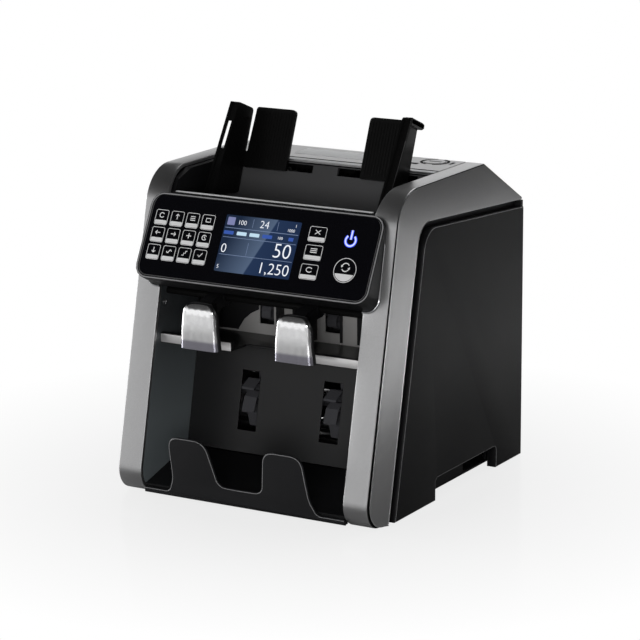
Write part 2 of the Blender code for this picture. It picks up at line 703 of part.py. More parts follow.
def make_hopper():
    """Floor, rear wall, cheeks, sliding guides, racks and pinion."""
    wide = PILLAR_INNER_X - 0.4
    slots = [on_slope(block((x - 9.5, x + 9.5), (27.0, 54.0), (-10, 10))) for x in PICKUP_PLACES]
    lip = on_slope(block((-wide, wide), (0, FLOOR_WALL), (-FLOOR_LIP, -1)))
    cheek = prism("x", [(60, 245), (126, 219.5), (136, 233), (149.5, 265.8), (90, 265.8), (70, 258.5)],
                  PILLAR_INNER_X, PILLAR_INNER_X + LINER_WALL)
    floor = on_slope(block((-PILLAR_INNER_X - 1, PILLAR_INNER_X + 1), (0.5, FLOOR_LENGTH),
                           (-FLOOR_WALL, 0)))
    rim = prism("x", [(64, 250), (77, 250), (94, 258), (149.5, 258), (149.5, 265.8), (90, 265.8),
                      (72, 259.5)],
                PILLAR_INNER_X, STRIP_INNER_X - GAP)
    piece("hopper_tray", BLACK, [floor], [lip, cheek, rim, mirrored(cheek), mirrored(rim)], slots)
    wall = on_wall(block((-wide, wide), (-WALL_THICK, 0), (WALL_LOW, WALL_HIGH)))
    slits = [on_wall(block(x, (-10, 10), (SLOT_LOW, SLOT_HIGH)))
             for x in ((SLOT_INNER_X, SLOT_OUTER_X), (-SLOT_OUTER_X, -SLOT_INNER_X))]
    piece("hopper_rear_wall", BLACK, [wall], cut=slits)
    pitch_r = GEAR_MODULE * PINION_TEETH / 2
    slack = 0.5
    rack_y = (PINION_Y - RACK_WIDTH / 2, PINION_Y + RACK_WIDTH / 2)
    for side, flip, way in (("right", lambda s: s, 1.0), ("left", mirrored, -1.0)):
        wing, fitted = guide_solids()
        pitch_z = PINION_Z - way * pitch_r
        phase = 0.5 * math.pi * GEAR_MODULE
        low, high = (-RACK_REACH, GUIDE_ARM_X + 1) if way > 0 else (-GUIDE_ARM_X - 1, RACK_REACH)
        bar = prism("y", rack_outline(low, high, pitch_z, way, phase, slack), *rack_y)
        arm_x = (GUIDE_ARM_X + 0.5, GUIDE_ARM_X + GUIDE_ARM_WIDTH - 0.5)
        post_top = TOP_Z - 6.0
        tooth_foot = pitch_r + 1.15 * GEAR_MODULE
        foot_z = PINION_Z - tooth_foot - RACK_BACK if way > 0 else PINION_Z + tooth_foot
        post = block(arm_x, (rack_y[0] - 12, rack_y[1]), (foot_z, post_top))
        piece(f"{side}_note_guide", BLACK, [flip(wing)], [*(flip(s) for s in fitted), flip(post), bar])
    gear = prism("y", involute_gear((0.0, PINION_Z), PINION_TEETH, GEAR_MODULE, slack), *rack_y)
    stub = prism("y", circle((0.0, PINION_Z), 3.0, 12), rack_y[0] - 22, rack_y[1] + 2)
    pinion = piece("guide_pinion", BLACK, [gear], [stub])
    turning(pinion, (PINION_Y, PINION_Z))


# Frames, rollers and drive


def pinch_of(at):
    """Centre of the idler that presses on a transport roller from behind."""
    return (at[0] + TRANSPORT_R + PINCH_R + NIP, at[1])


SHAFT_PLACES = (PICKUP_AT, FEED_AT, RETARD_AT, UPPER_AT, LOWER_AT, pinch_of(UPPER_AT), pinch_of(LOWER_AT),
                REJECT_AT, STACKER_AT)
FRAME_OUTER = FRAME_X + FRAME_WALL
PLANE_NEAR = FRAME_OUTER + 1.5
PLANE_FAR = PLANE_NEAR + PULLEY_WIDTH + 1.5


def make_frames():
    """Steel side frames with bored bearings for every shaft, and the bars that tie them."""
    inset = TRIM_WALL + 2.0
    outline = [(lean_y(26) + inset + 2, 26), (34, BASE_TOP + GAP), (REAR_Y - 8, BASE_TOP + GAP),
               (REAR_Y - 8, 214)]
    outline += [(TOP_REAR_Y - 2, TOP_Z - 2.5 - GAP), (WALL_Y + 2, TOP_Z - 2.5 - GAP), (WALL_Y + 2, 244)]
    outline += [(lean_y(240) + inset + 6, 244), (lean_y(236) + inset + 2, 236)]
    for side, way in (("right", 1.0), ("left", -1.0)):
        span = sorted((way * FRAME_X, way * FRAME_OUTER))
        wider = (span[0] - 4, span[1] + 4)
        holes = [rod(at, SHAFT_R + 0.2, *wider) for at in SHAFT_PLACES]
        holes.append(rod(DIVERTER_AT, DIVERTER_R + 0.2, *wider))
        if way < 0:
            holes.append(rod(MOTOR_AT, MOTOR_SHAFT_R + 0.2, *wider))
        frame = piece(f"{side}_side_frame", STEEL, [prism("x", outline, *span)])
        tool(frame, f"{side}_frame_bores", holes, "DIFFERENCE")
    for name, at in TIE_PLACES:
        piece(f"{name}_tie_bar", STEEL, [rod(at, TIE_R, -FRAME_X + GAP, FRAME_X - GAP)])


def rollers(at, radius, places, width, sides):
    """Rubber tyres along a shaft."""
    return [rod(at, radius, x - width / 2, x + width / 2, sides) for x in places]


def make_shaft(name, material, at, wheels, left=FRAME_OUTER + 1.0, right=FRAME_OUTER + 1.0):
    """A shaft across the machine with the rollers and pulleys fixed on it."""
    made = piece(name, material, [rod(at, SHAFT_R, -left, right)], wheels)
    turning(made, at)


def paddle(at, tip, hub, blades, sweep, wall):
    """Outline of a wheel of soft curved blades."""
    outline = []
    for blade in range(blades):
        start = 2 * math.pi * blade / blades
        line = []
        for i in range(4):
            share = i / 3
            radius = hub + (tip - hub) * share
            line.append((radius, start + sweep * share * share, wall / 2 / radius))
        outline += [(at[0] + r * math.cos(a - d), at[1] + r * math.sin(a - d)) for r, a, d in line]
        outline += [(at[0] + r * math.cos(a + d), at[1] + r * math.sin(a + d))
                    for r, a, d in reversed(line)]
    return outline


def pulley(at, radius, low):
    """A flat pulley on the left side, from a distance out from the middle."""
    return rod(at, radius, -low - PULLEY_WIDTH, -low, 20)


def belt(wheels, low, count=40):
    """A flat belt round several pulleys: the outline that hugs them all."""
    loops = []
    for lift in (GAP + BELT_WALL, GAP):
        loop = []
        for i in range(count):
            turn = 2 * math.pi * i / count
            way = (math.cos(turn), math.sin(turn))
            at, radius = max(wheels, key=lambda w: w[0][0] * way[0] + w[0][1] * way[1] + w[1])
            loop.append((at[0] + (radius + lift) * way[0], at[1] + (radius + lift) * way[1]))
        loops.append(loop)
    inset = 0.5
    return ring(loops[0], loops[1], low + inset, low + PULLEY_WIDTH - inset)


def make_drive():
    """Shafts, rollers, paddle wheels, motor and belts."""
    far_end = PLANE_FAR + PULLEY_WIDTH + 0.5
    near_end = PLANE_NEAR + PULLEY_WIDTH + 0.5
    make_shaft("pickup_rollers", RUBBER, PICKUP_AT, rollers(PICKUP_AT, PICKUP_R, PICKUP_PLACES, 16, 20)
               + [pulley(PICKUP_AT, PULLEY_R, PLANE_FAR)], far_end)
    make_shaft("feed_rollers", RUBBER, FEED_AT, rollers(FEED_AT, FEED_R, PICKUP_PLACES, 18, 20)
               + [pulley(FEED_AT, PULLEY_R, PLANE_FAR)], far_end)
    make_shaft("retard_rollers", GREY_RUBBER, RETARD_AT,
               rollers(RETARD_AT, RETARD_R, PICKUP_PLACES, 14, 16))
    reject_drive = rod(UPPER_AT, PULLEY_R, PLANE_NEAR, PLANE_NEAR + PULLEY_WIDTH, 20)
    make_shaft("upper_transport_rollers", RUBBER, UPPER_AT,
               rollers(UPPER_AT, TRANSPORT_R, TRANSPORT_PLACES, 18, 16)
               + [pulley(UPPER_AT, PULLEY_R, PLANE_FAR), reject_drive], far_end, near_end)
    make_shaft("lower_transport_rollers", RUBBER, LOWER_AT,
               rollers(LOWER_AT, TRANSPORT_R, TRANSPORT_PLACES, 18, 16)
               + [pulley(LOWER_AT, PULLEY_R, PLANE_FAR), pulley(LOWER_AT, PULLEY_R, PLANE_NEAR)], far_end)
    for name, at in (("upper", pinch_of(UPPER_AT)), ("lower", pinch_of(LOWER_AT))):
        make_shaft(f"{name}_pinch_rollers", GREY_RUBBER, at, rollers(at, PINCH_R, TRANSPORT_PLACES, 14, 14))
    kickers = [prism("x", paddle(REJECT_AT, REJECT_R, 8.0, 6, 0.7, 1.8), x - 4.5, x + 4.5)
               for x in REJECT_PLACES]
    kicker_pulley = rod(REJECT_AT, PULLEY_R, PLANE_NEAR, PLANE_NEAR + PULLEY_WIDTH, 20)
    make_shaft("reject_wheels", GREY_RUBBER, REJECT_AT, kickers + [kicker_pulley], right=near_end)
    paddles = [prism("x", paddle(STACKER_AT, STACKER_R, 11.0, 9, 0.7, 1.8), x - 6, x + 6)
               for x in STACKER_PLACES]
    make_shaft("stacker_wheels", GREY_RUBBER, STACKER_AT,
               paddles + [pulley(STACKER_AT, STACKER_PULLEY_R, PLANE_NEAR)], near_end)
    motor_x = (-FRAME_X + GAP, -FRAME_X + GAP + MOTOR_LENGTH)
    socket = rod(MOTOR_AT, MOTOR_SHAFT_R + GAP, motor_x[0] - 5, motor_x[0] + 12)
    piece("drive_motor", STEEL, [rod(MOTOR_AT, MOTOR_R, *motor_x, 24)], cut=[socket])
    rotor = piece("motor_shaft", STEEL, [rod(MOTOR_AT, MOTOR_SHAFT_R, -near_end, motor_x[0] + 11)],
                  [pulley(MOTOR_AT, MOTOR_PULLEY_R, PLANE_NEAR)])
    turning(rotor, MOTOR_AT)
    low_run = [(MOTOR_AT, MOTOR_PULLEY_R), (STACKER_AT, STACKER_PULLEY_R), (LOWER_AT, PULLEY_R)]
    high_run = [(at, PULLEY_R) for at in (LOWER_AT, UPPER_AT, FEED_AT, PICKUP_AT)]
    reject_run = [(at, PULLEY_R) for at in (UPPER_AT, REJECT_AT)]
    piece("lower_belt", RUBBER, [belt(low_run, -PLANE_NEAR - PULLEY_WIDTH)])
    piece("upper_belt", RUBBER, [belt(high_run, -PLANE_FAR - PULLEY_WIDTH)])
    piece("reject_belt", RUBBER, [belt(reject_run, PLANE_NEAR)])


# Sensors and electronics inside


def make_inside():
    """Sensor bars, diverter, solenoid, boards and power supply."""
    span = (-FRAME_X + GAP, FRAME_X - GAP)
    piece("front_sensor_bar", BLACK, [block(span, (147, 157), (188.5, 203))])
    piece("rear_sensor_bar", BLACK, [block(span, (161, 177), (186, 203))])
    blade = prism("x", [(152, 149.5), (156, 152), (152, 154.5), (133, 152.6), (133, 151.4)], -90, 90)
    flap = piece("diverter_flap", BLACK, [rod(DIVERTER_AT, DIVERTER_R, -FRAME_OUTER, FRAME_OUTER)], [blade])
    turning(flap, DIVERTER_AT)
    piece("diverter_solenoid", STEEL, [block((62, FRAME_X - GAP), (184, 206), (138, 160))])
    board_low = MOTOR_AT[1] + MOTOR_R + 4
    board = block(span, (MAIN_BOARD_Y, MAIN_BOARD_Y + BOARD_WALL), (board_low, MAIN_BOARD_TOP_Z))
    piece("main_board", BOARD, [board])
    supply = block(SUPPLY_X, (SUPPLY_FRONT_Y, SUPPLY_REAR_Y), (BASE_TOP + GAP, SUPPLY_TOP_Z))
    piece("power_supply", STEEL, [supply])


# Pockets


def gate_outline():
    """Half of the gate seen from the front: low lip, round hump, dip in the middle."""
    points = [(0.0, 0.0), (PILLAR_INNER_X - 0.4, 0.0), (PILLAR_INNER_X - 0.4, GATE_LIP_Z - GATE_FOOT_Z)]
    hump_low = GATE_HUMP_X + GATE_HUMP_HALF + 10
    points.append((hump_low, GATE_LIP_Z - GATE_FOOT_Z))
    points.append((GATE_HUMP_X + GATE_HUMP_HALF + 1.5, 20.0 - GATE_FOOT_Z))
    radius = 11.0
    top = GATE_HUMP_Z - GATE_FOOT_Z - radius
    points += circle((GATE_HUMP_X + GATE_HUMP_HALF - radius, top), radius, 5, 0.0, math.pi / 2)
    points += circle((GATE_HUMP_X - GATE_HUMP_HALF + radius + 2, top), radius, 5, math.pi / 2,
                     math.radians(72))
    dip = GATE_DIP_Z - GATE_FOOT_Z
    points += [(20.5, dip + 5), (16.0, dip + 0.8), (10.0, dip), (0.0, dip)]
    return points


def make_pockets():
    """Liners, shelf, reject wall, stoppers, stacker floor, back wall and gate."""
    wide = PILLAR_INNER_X - 0.4
    foot_y, foot_z = foot_centre()
    inside = FOOT_RADIUS - TRIM_WALL - GAP
    liner = circle((foot_y, foot_z), inside, 5, math.radians(180 - FRONT_LEAN),
                   math.radians(90 + FRONT_LEAN))
    liner += [(BASE_FRONT_Y - 1, foot_z - inside), (BASE_FRONT_Y - 1, BASE_TOP + GAP),
              (LINER_REAR_Y, BASE_TOP + GAP)]
    liner += [(LINER_REAR_Y, LINER_TOP_Z), (lean_y(LINER_TOP_Z) + TRIM_WALL + 2 * GAP, LINER_TOP_Z)]
    plate = prism("x", liner, PILLAR_INNER_X, PILLAR_INNER_X + LINER_WALL)
    rod_end = rod(STOPPER_PIVOT, STOPPER_ROD_R + 0.2, PILLAR_INNER_X - 5, FRAME_X + 5)
    for side, flip in (("right", lambda s: s), ("left", mirrored)):
        piece(f"{side}_pocket_liner", SHEET, [flip(plate)], cut=[flip(rod_end)])

    bar_y = SHELF_Y + 5
    shelf = [(SHELF_Y, SHELF_Z), (REJECT_WALL_Y - GAP, SHELF_Z - 2), (REJECT_WALL_Y - GAP, SHELF_Z)]
    shelf += [(bar_y, SHELF_Z + 2), (bar_y, SHELF_Z + SHELF_BAR), (SHELF_Y, SHELF_Z + SHELF_BAR)]
    finger_cut = block((-SHELF_CUT_X, SHELF_CUT_X), (SHELF_Y - 5, SHELF_CUT_Y),
                       (SHELF_Z - 5, SHELF_Z + SHELF_BAR + 5))
    piece("reject_shelf", SHEET, [prism("x", shelf, -wide, wide)], cut=[finger_cut])
    wall = block((-wide, wide), (REJECT_WALL_Y, REJECT_WALL_Y + SHEET_WALL), (SHELF_Z - 2, REJECT_TOP_Z))
    gaps = [block((x - 7, x + 7), (REJECT_WALL_Y - 5, REJECT_WALL_Y + 5),
                  (REJECT_AT[1] - 15, REJECT_AT[1] + 15))
            for x in REJECT_PLACES]
    piece("reject_wall", SHEET, [wall], cut=gaps)
    ribs = [block((x - 1.5, x + 1.5), (REJECT_WALL_Y - 9, REJECT_WALL_Y - GAP),
                  (SHELF_Z + 1.6, REJECT_TOP_Z + 1))
            for x in (-78, -16, 0, 16, 78)]
    roof = block((-wide, wide), (58, REJECT_WALL_Y + 6), (REJECT_TOP_Z + GAP, REJECT_TOP_Z + 2.5))
    piece("reject_roof", BLACK, [roof], ribs)

    piece("stopper_rod", STEEL,
          [rod(STOPPER_PIVOT, STOPPER_ROD_R, -PILLAR_INNER_X - LINER_WALL, PILLAR_INNER_X + LINER_WALL)])
    half = STOPPER_WIDTH / 2
    mid_z = (STOPPER_LOW + STOPPER_HIGH) / 2
    for side, way in (("right", 1.0), ("left", -1.0)):
        centre = way * STOPPER_X
        face = [(STOPPER_Y + 5, STOPPER_HIGH), (STOPPER_Y + 1.2, STOPPER_HIGH - 5), (STOPPER_Y, mid_z),
                (STOPPER_Y + 1.0, STOPPER_LOW)]
        inside = [(y + STOPPER_WALL, z - (1.5 if z > mid_z else 0.0)) for y, z in reversed(face)]
        flap = piece(f"{side}_stopper", CLEAR, [prism("x", face + inside, centre - half, centre + half)])
        turning(flap, STOPPER_PIVOT)
        arm = [(STOPPER_Y + STOPPER_WALL + 2.4, STOPPER_HIGH - 8),
               (STOPPER_Y + STOPPER_WALL + 0.6, mid_z), (32, mid_z + 4)]
        arm += [(44, STOPPER_HIGH - 7), (STOPPER_PIVOT[0], STOPPER_PIVOT[1] - 6.5),
                (STOPPER_PIVOT[0], STOPPER_PIVOT[1] + 5.5)]
        arm += [(STOPPER_Y + 16, STOPPER_HIGH + 2)]
        hub_half = ARM_WIDTH / 2 + 0.2
        hub = rod(STOPPER_PIVOT, STOPPER_HUB_R, centre - hub_half, centre + hub_half, 16)
        bore = rod(STOPPER_PIVOT, STOPPER_ROD_R + 0.2, centre - half, centre + half)
        lever = piece(f"{side}_stopper_arm", BLACK,
                      [prism("x", arm, centre - ARM_WIDTH / 2, centre + ARM_WIDTH / 2)],
                      [hub], [bore])
        turning(lever, STOPPER_PIVOT)

    tilt = math.tan(math.radians(-GATE_LEAN))
    end_y = STACK_FLOOR_Y + STACK_FLOOR_LENGTH
    end_z = STACK_FLOOR_Z + STACK_FLOOR_LENGTH * tilt
    floor = [(STACK_FLOOR_Y, STACK_FLOOR_Z - SHEET_WALL), (end_y, end_z - SHEET_WALL), (end_y, end_z),
             (STACK_FLOOR_Y, STACK_FLOOR_Z)]
    apron = block((-wide, wide), (STACK_FLOOR_Y + 1.4, STACK_FLOOR_Y + 3.2),
                  (STACK_FLOOR_Z - 7, STACK_FLOOR_Z - 0.4))
    piece("stacker_floor", BLACK, [prism("x", floor, -wide, wide)], [apron])
    steep = math.tan(math.radians(STACK_WALL_LEAN))
    low, high = end_z + 0.6, SHELF_Z - 6
    back = [(STACK_WALL_Y + (z - STACKER_AT[1]) * steep + d, z)
            for z, d in ((low, 0), (high, 0), (high, SHEET_WALL), (low, SHEET_WALL))]
    windows = [block((x - 9, x + 9), (60, 110), (STACKER_AT[1] - 26, STACKER_AT[1] + 24))
               for x in STACKER_PLACES]
    piece("stacker_wall", SHEET, [prism("x", back, -wide, wide)], cut=windows)
    half_gate = gate_outline()
    outline = half_gate[1:-1] + [half_gate[-1]] + [(-x, z) for x, z in reversed(half_gate[1:-1])]
    piece("stacker_gate", BLACK, [on_gate(prism("y", outline, -GATE_WALL, 0.0))])


make_case()
make_door()
make_panel()
make_hopper()
make_frames()
make_drive()
make_inside()
make_pockets()
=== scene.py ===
"""Looks of the two-pocket banknote counting machine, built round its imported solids.

Shapes are worked out in millimetres in the maker's frame: X to the right, Y to the rear from the
line where the leaning front meets the table, Z up. The last step moves them to the part's frame.
"""
import json
import math

import bmesh
import bpy
import numpy as np
from mathutils import Matrix, Vector


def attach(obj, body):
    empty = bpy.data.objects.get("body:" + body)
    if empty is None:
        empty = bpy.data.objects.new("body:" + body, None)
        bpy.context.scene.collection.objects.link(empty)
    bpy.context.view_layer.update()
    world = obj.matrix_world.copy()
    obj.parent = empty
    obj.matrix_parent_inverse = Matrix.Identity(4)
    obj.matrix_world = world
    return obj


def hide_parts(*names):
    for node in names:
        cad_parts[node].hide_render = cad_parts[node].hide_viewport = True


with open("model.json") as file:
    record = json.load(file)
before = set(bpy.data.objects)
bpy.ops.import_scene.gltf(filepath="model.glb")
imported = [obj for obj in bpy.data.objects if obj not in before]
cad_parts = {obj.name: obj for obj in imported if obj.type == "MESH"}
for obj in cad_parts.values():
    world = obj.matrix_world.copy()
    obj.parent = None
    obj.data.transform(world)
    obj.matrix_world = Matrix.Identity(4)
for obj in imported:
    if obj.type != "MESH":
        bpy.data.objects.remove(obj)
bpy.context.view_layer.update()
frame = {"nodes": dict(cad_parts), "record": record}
record = frame["record"]

MM = 0.001
MIDDLE_Y = 132.6914

# Case sizes
PILLAR_EDGE_X = 119.5
PILLAR_INNER_X = 97.3
STRIP_INNER_X = 102.8
BAND_EDGE_X = 124.5
SIDE_X = 125.85
TOP_Z = 269.4
REAR_Y = 270.5
FRONT_LEAN = math.radians(12.6)
TRIM_WALL = 3.0
TRIM_FOOT_Z = 0.4
FOOT_RADIUS = 20.0
BROW_RADIUS = 35.0
TOP_REAR_Y = 207.0
SLOPE_END_Y = 269.5
SLOPE_END_Z = 230.5
BAND_DEPTH = 33.0
SEAM_START = 0.5
SEAM_WIDE = 4.0
SEAM_NARROW = 1.2
SEAM_SHARE = 0.36
SEAM_HEIGHTS = (230.0, 256.0)
SEAM_WAY = (-0.95, 0.3)
SEAM_DEPTH = 1.4
SEAM_DRAFT = 0.1
SEAM_FLOOR = 0.5
SEAM_UNDER = 1.6
GLINT_END_Y = 95.0
GLINT_BESIDE = (0.1, 0.6)
GLINT_REAR = (-1.1, -0.5)
GLINT_LIFT = 0.08
GLINT_DEPTH = 0.6
TRIM_SOFT = 1.1
TRIM_STEP = 0.3
TRIM_LAP = 0.2
TOE_REACH = 5.0
TOE_BAND_REACH = 9.0
BEND_HALF = 1.5
BEND_FALL = (0.0, 0.15, 0.95)
GROOVE_WIDTH = 8.0
GROOVE_FRONT_Z = 239.7
GROOVE_DROP = 0.068
GROOVE_FRONT_Y = 101.6
COVER_FOOT_Z = 0.6
NOTCH_FRONT_Y = 111.0
NOTCH_REAR_Y = 222.0
NOTCH_Z = 20.0
NOTCH_CORNER_R = 4.0
PANEL_CORNER_R = 20.0
COVER_LINE = 0.5
BACKING_GAP = 2.0
BACKING_HIGH_Z = 240.0
BACKING_LOW_Z = 26.0
BACKING_TOE_Y = 36.0
BACKING_TOP_Y = 94.0
BACKING_SLOPE_DROP = 4.5
RETURN_INNER_X = 102.4
RETURN_DROP = 6.0
RETURN_DEPTH = 2.5
REAR_CORNER_DEPTH = 4.0

# Top and rear details
KNOB_AT = (80.0, 194.0)
KNOB_RING_R = 11.6
KNOB_LINE = 2.4
KNOB_TICK_X = (63.0, 67.0, 71.0)
KNOB_TICK_Y = 180.0
LABEL_X = (-46.0, 24.0)
LABEL_Y = (173.0, 197.0)
LABEL_RISE = 0.15
LIP_HALF = 102.0
LIP_Y = (150.6, 155.6)
LIP_DEPTH = 2.4
LIP_SHADE_WIDTH = 3.0
LIP_SHADE_Y = 157.4
VENT_HALF = 60.0
VENT_Z = (90.0, 150.0)
VENT_PITCH = 7.0
VENT_RIB = 3.2
VENT_RISE = 0.4
REAR_SCREW_X = 95.0
REAR_SCREW_Z = (15.0, 50.0)
REAR_SCREW_R = 2.4
REAR_SCREW_SINK = 0.9
PORT_LEFTS = (-76.0, -50.0, -24.0)
PORT_X = (0.6, 13.4)
PORT_Z = (22.6, 33.4)
PORT_DEPTH = 9.0
PORT_WALL = 0.5
TONGUE_X = (2.5, 11.5)
TONGUE_Z = (27.0, 29.0)
TONGUE_SINK = 1.5

# Control panel sizes
PANEL_TILT = math.radians(27.5)
PANEL_Y = 21.5
PANEL_Z = 187.7
GLASS_HALF = 107.3
GLASS_HEIGHT = 68.5
GLASS_CORNER_R = 8.0
RIM = 3.7
GLASS_FACE = 0.2
PRINT_SINK = 0.05
PRINT_LIFT = 0.12
SCREEN_HALF = 36.0
SCREEN_LOW = 9.7
SCREEN_HIGH = 58.4
WEDGE_FOOT = -7.4
WEDGE_SLANT = 0.43
WEDGE_SOFT = 0.6
WEDGE_PALE = 34.0
WEDGE_DEEP = 44.0

# Hopper and pocket sizes
WALL_Y = 150.0
FLOOR_EDGE_Y = (60.4, 63.2)
FLOOR_EDGE_Z = (249.6, 251.4)
FLOOR_EDGE_HALF = 94.0
WALL_TILT = math.radians(22.0)
FLAP_HALF = 18.0
FLAP_LOW = 130.2
FLAP_HIGH = 168.0
FLAP_CORNER_R = 10.0
FLAP_ARCH = 1.2
FLAP_TAPER = 0.15
FLAP_FLUTES = 5
FLAP_FLUTE = 0.28
FLAP_BACKING_GROW = 1.2
FLAP_BACKING_SINK = 2.4
FLAP_X = 45.0
FLAP_THICK = 4.0
FLAP_THIN = 0.4
FLAP_BOW = 2.6
FLAP_BOW_POWER = 10
FLAP_PROFILE_Z = (130.0, 147.0, 163.0, 166.5, 168.0)
FLAP_PROFILE_Y = (15.0, 14.0, 15.2, 16.8, 19.0)
FLAP_ROWS = (1.0, 0.985, 0.95, 0.88, 0.75, 0.6, 0.48, 0.34, 0.2, 0.1, 0.03, 0.0)
FLAP_COLUMNS = 145
FLUTE_START = 7.0
FLUTE_RUN = 3.0
FLUTE_END = 2.0
FLUTE_FADE = 4.0
FLAP_TOP_Z = 160.0
FLAP_TOP_LAP = 0.6
FLAP_RIM_Z = (136.5 * MM, 139.0 * MM)
WING_FRONT_LOW = (93.0, 243.0)
WING_REAR_LOW = (135.4, 238.5)
WING_FRONT_HIGH = (138.6, 316.3)
GUIDE_WING_X = 79.0
GUIDE_OUTER_X = 87.5
CAP_FRONT = (141.3, 312.4)
CAP_REAR = (158.6, 305.4)
CAP_R = 3.1
WEB_SHARES = {"left": ((0.05, 0.5), (0.79, 0.96)), "right": ((0.05, 0.96),)}
WEB_DEPTH = 3.2
WEB_START = 0.6
WEB_ROOT = 0.4
CAP_ROUND = 1.4
CAP_INSET = 0.2
GUIDE_LINE = 0.5
GUIDE_LINE_IN = 0.7
GUIDE_LINE_RISE = 0.06
WING_RIBS = 15
PLATE_RIBS = 13
WING_RIB = 1.0
WING_RIB_RISE = 0.3
WING_RIB_GAP = 2.5
WING_RIB_LONGEST = 64.0
WING_RIB_SPAN = (0.08, 0.84)
PLATE_RIB_X = (39.0, 72.0)
PLATE_RIB_UP = (-9.0, 37.5)
PLATE_FACE = 4.0
SHELF_CUT_X = 27.0
SHELF_BAR_Y = 37.9
SHELF_BAR_Z = (126.2, 133.6)
SHELF_BAR_DEPTH = 2.0
# Heights over which the pocket liners' painted shade darkens towards the top.
LINER_SHADE_Z = (60.0 * MM, 150.0 * MM)
LINER_SCREW_AT = (46.0, 159.0)
LINER_SCREW_R = 2.6
GATE_FOOT_Y = 9.6
GATE_FOOT_Z = 2.5
GATE_LEAN = math.radians(-14.6)
GATE_CORNER_POINTS = 10
GATE_LINE = 0.5
GATE_LINE_IN = 0.8
GATE_THICK = 3.0
GATE_ROUND = 1.2
MASK_Y = (102.3, 102.9)
MASK_HALF = 96.5
MASK_LOW = 127.5
MASK_HIGH = 172.5
MASK_BOW = ((-60.0, MASK_LOW), (-59.5, 129.0), (-54.4, 136.9),
            (-47.7, 142.7), (-39.4, 147.0), (-39.4, MASK_HIGH))
MASK_ROOF_SHADE = ((-24.5, 24.5), (152.0, MASK_HIGH))
MASK_RIGHT_X = ((56.0, MASK_HALF), (39.4, 42.0))

LEAN = math.tan(FRONT_LEAN)
QUARTER = math.pi / 2
FULL = 2 * math.pi


# Shader maths


class Flow:
    """A value in a tree of nodes; an expression on flows adds its Math nodes."""

    def __init__(self, nodes, socket):
        self.nodes = nodes
        self.socket = socket

    def maths(self, operation, first, second):
        return self.nodes.node("ShaderNodeMath", {"operation": operation}, {0: first, 1: second})

    def __add__(self, other):
        return self.maths("ADD", self, other)

    def __radd__(self, other):
        return self.maths("ADD", other, self)

    def __sub__(self, other):
        return self.maths("SUBTRACT", self, other)

    def __rsub__(self, other):
        return self.maths("SUBTRACT", other, self)

    def __mul__(self, other):
        return self.maths("MULTIPLY", self, other)

    def __rmul__(self, other):
        return self.maths("MULTIPLY", other, self)


class Nodes:
    """A tree of shader nodes."""

    def __init__(self, tree):
        self.tree = tree

    def node(self, kind, settings, sockets, output=0):
        """Add a node with its settings, then the values or links of its sockets."""
        made = self.tree.nodes.new(kind)
        for name, value in settings.items():
            setattr(made, name, value)
        for name, value in sockets.items():
            if isinstance(value, Flow):
                self.tree.links.new(value.socket, made.inputs[name])
            else:
                made.inputs[name].default_value = value
        return Flow(self, made.outputs[output])

    def ramp(self, value, start, end, first=0.0, last=1.0):
        """A straight run from first to last while the value goes from start to end, held beyond them."""
        sockets = {"Value": value, "From Min": start, "From Max": end, "To Min": first, "To Max": last}
        return self.node("ShaderNodeMapRange", {}, sockets)


class Finish(Nodes):
    """One material: a Principled shader and the nodes that feed it."""

    def __init__(self, name, colour, roughness, metallic=0.0, **sockets):
        self.material = bpy.data.materials.new(name)
        self.material.use_nodes = True
        super().__init__(self.material.node_tree)
        self.shader = self.tree.nodes["Principled BSDF"]
        self.colour = colour
        self.set("Base Color", (*colour, 1.0))
        self.set("Roughness", roughness)
        self.set("Metallic", metallic)
        for socket, value in sockets.items():
            self.set(socket.replace("_", " "), value)

    def set(self, socket, value):
        """Give one socket of the shader a value or a flow."""
        if isinstance(value, Flow):
            self.tree.links.new(value.socket, self.shader.inputs[socket])
        else:
            self.shader.inputs[socket].default_value = value

    def spot(self):
        """Object coordinates, in metres."""
        return self.node("ShaderNodeTexCoord", {}, {}, "Object")

    def noise(self, scale, detail=2.0, stretch=(1.0, 1.0, 1.0)):
        """Grain with a wavelength of one over scale metres, drawn out along an axis if asked."""
        spot = self.node("ShaderNodeMapping", {}, {"Vector": self.spot(), "Scale": stretch})
        return self.node("ShaderNodeTexNoise", {}, {"Vector": spot, "Scale": scale, "Detail": detail}, "Fac")

    def place(self, axis):
        """A point's place along X, Y or Z, in metres."""
        return self.node("ShaderNodeSeparateXYZ", {}, {0: self.spot()}, axis)

    def mix(self, share, first, second):
        """Blend two colours by a share from 0 to 1."""
        return self.node("ShaderNodeMix", {"data_type": "RGBA"},
                         {"Factor": share, 6: first, 7: second}, 2)

    def shades(self, share, low, high):
        """The finish's own colour times a factor that runs from low to high."""
        dark = (*(c * low for c in self.colour), 1.0)
        light = (*(c * high for c in self.colour), 1.0)
        self.set("Base Color", self.mix(share, dark, light))
        return self

    def rough(self, share, low, high):
        """Roughness that runs from low to high."""
        self.set("Roughness", share * (high - low) + low)
        return self

    def bump(self, height, strength, distance):
        """Small relief from a height flow."""
        self.set("Normal", self.node("ShaderNodeBump", {},
                                     {"Height": height, "Strength": strength, "Distance": distance}))
        return self


DRIFT_SCALE = 14.0
GRAIN_DEPTH = 0.0004
SCRATCH_SCALE = 1800.0
SCRATCH_DEPTH = 0.0003


def grained(name, colour, roughness, scale, metallic=0.0, spread=0.2, relief=0.12, **sockets):
    """A moulded or painted finish: fine grain in its relief, broad drift in its colour and gloss."""
    made = Finish(name, colour, roughness, metallic, **sockets)
    fine = made.noise(scale, 3.0)
    broad = made.noise(DRIFT_SCALE, 2.0)
    made.shades(fine * 0.6 + broad * 0.4, 1 - spread, 1 + spread)
    made.rough(broad, roughness * 0.88, roughness * 1.12)
    return made.bump(fine, relief, GRAIN_DEPTH)


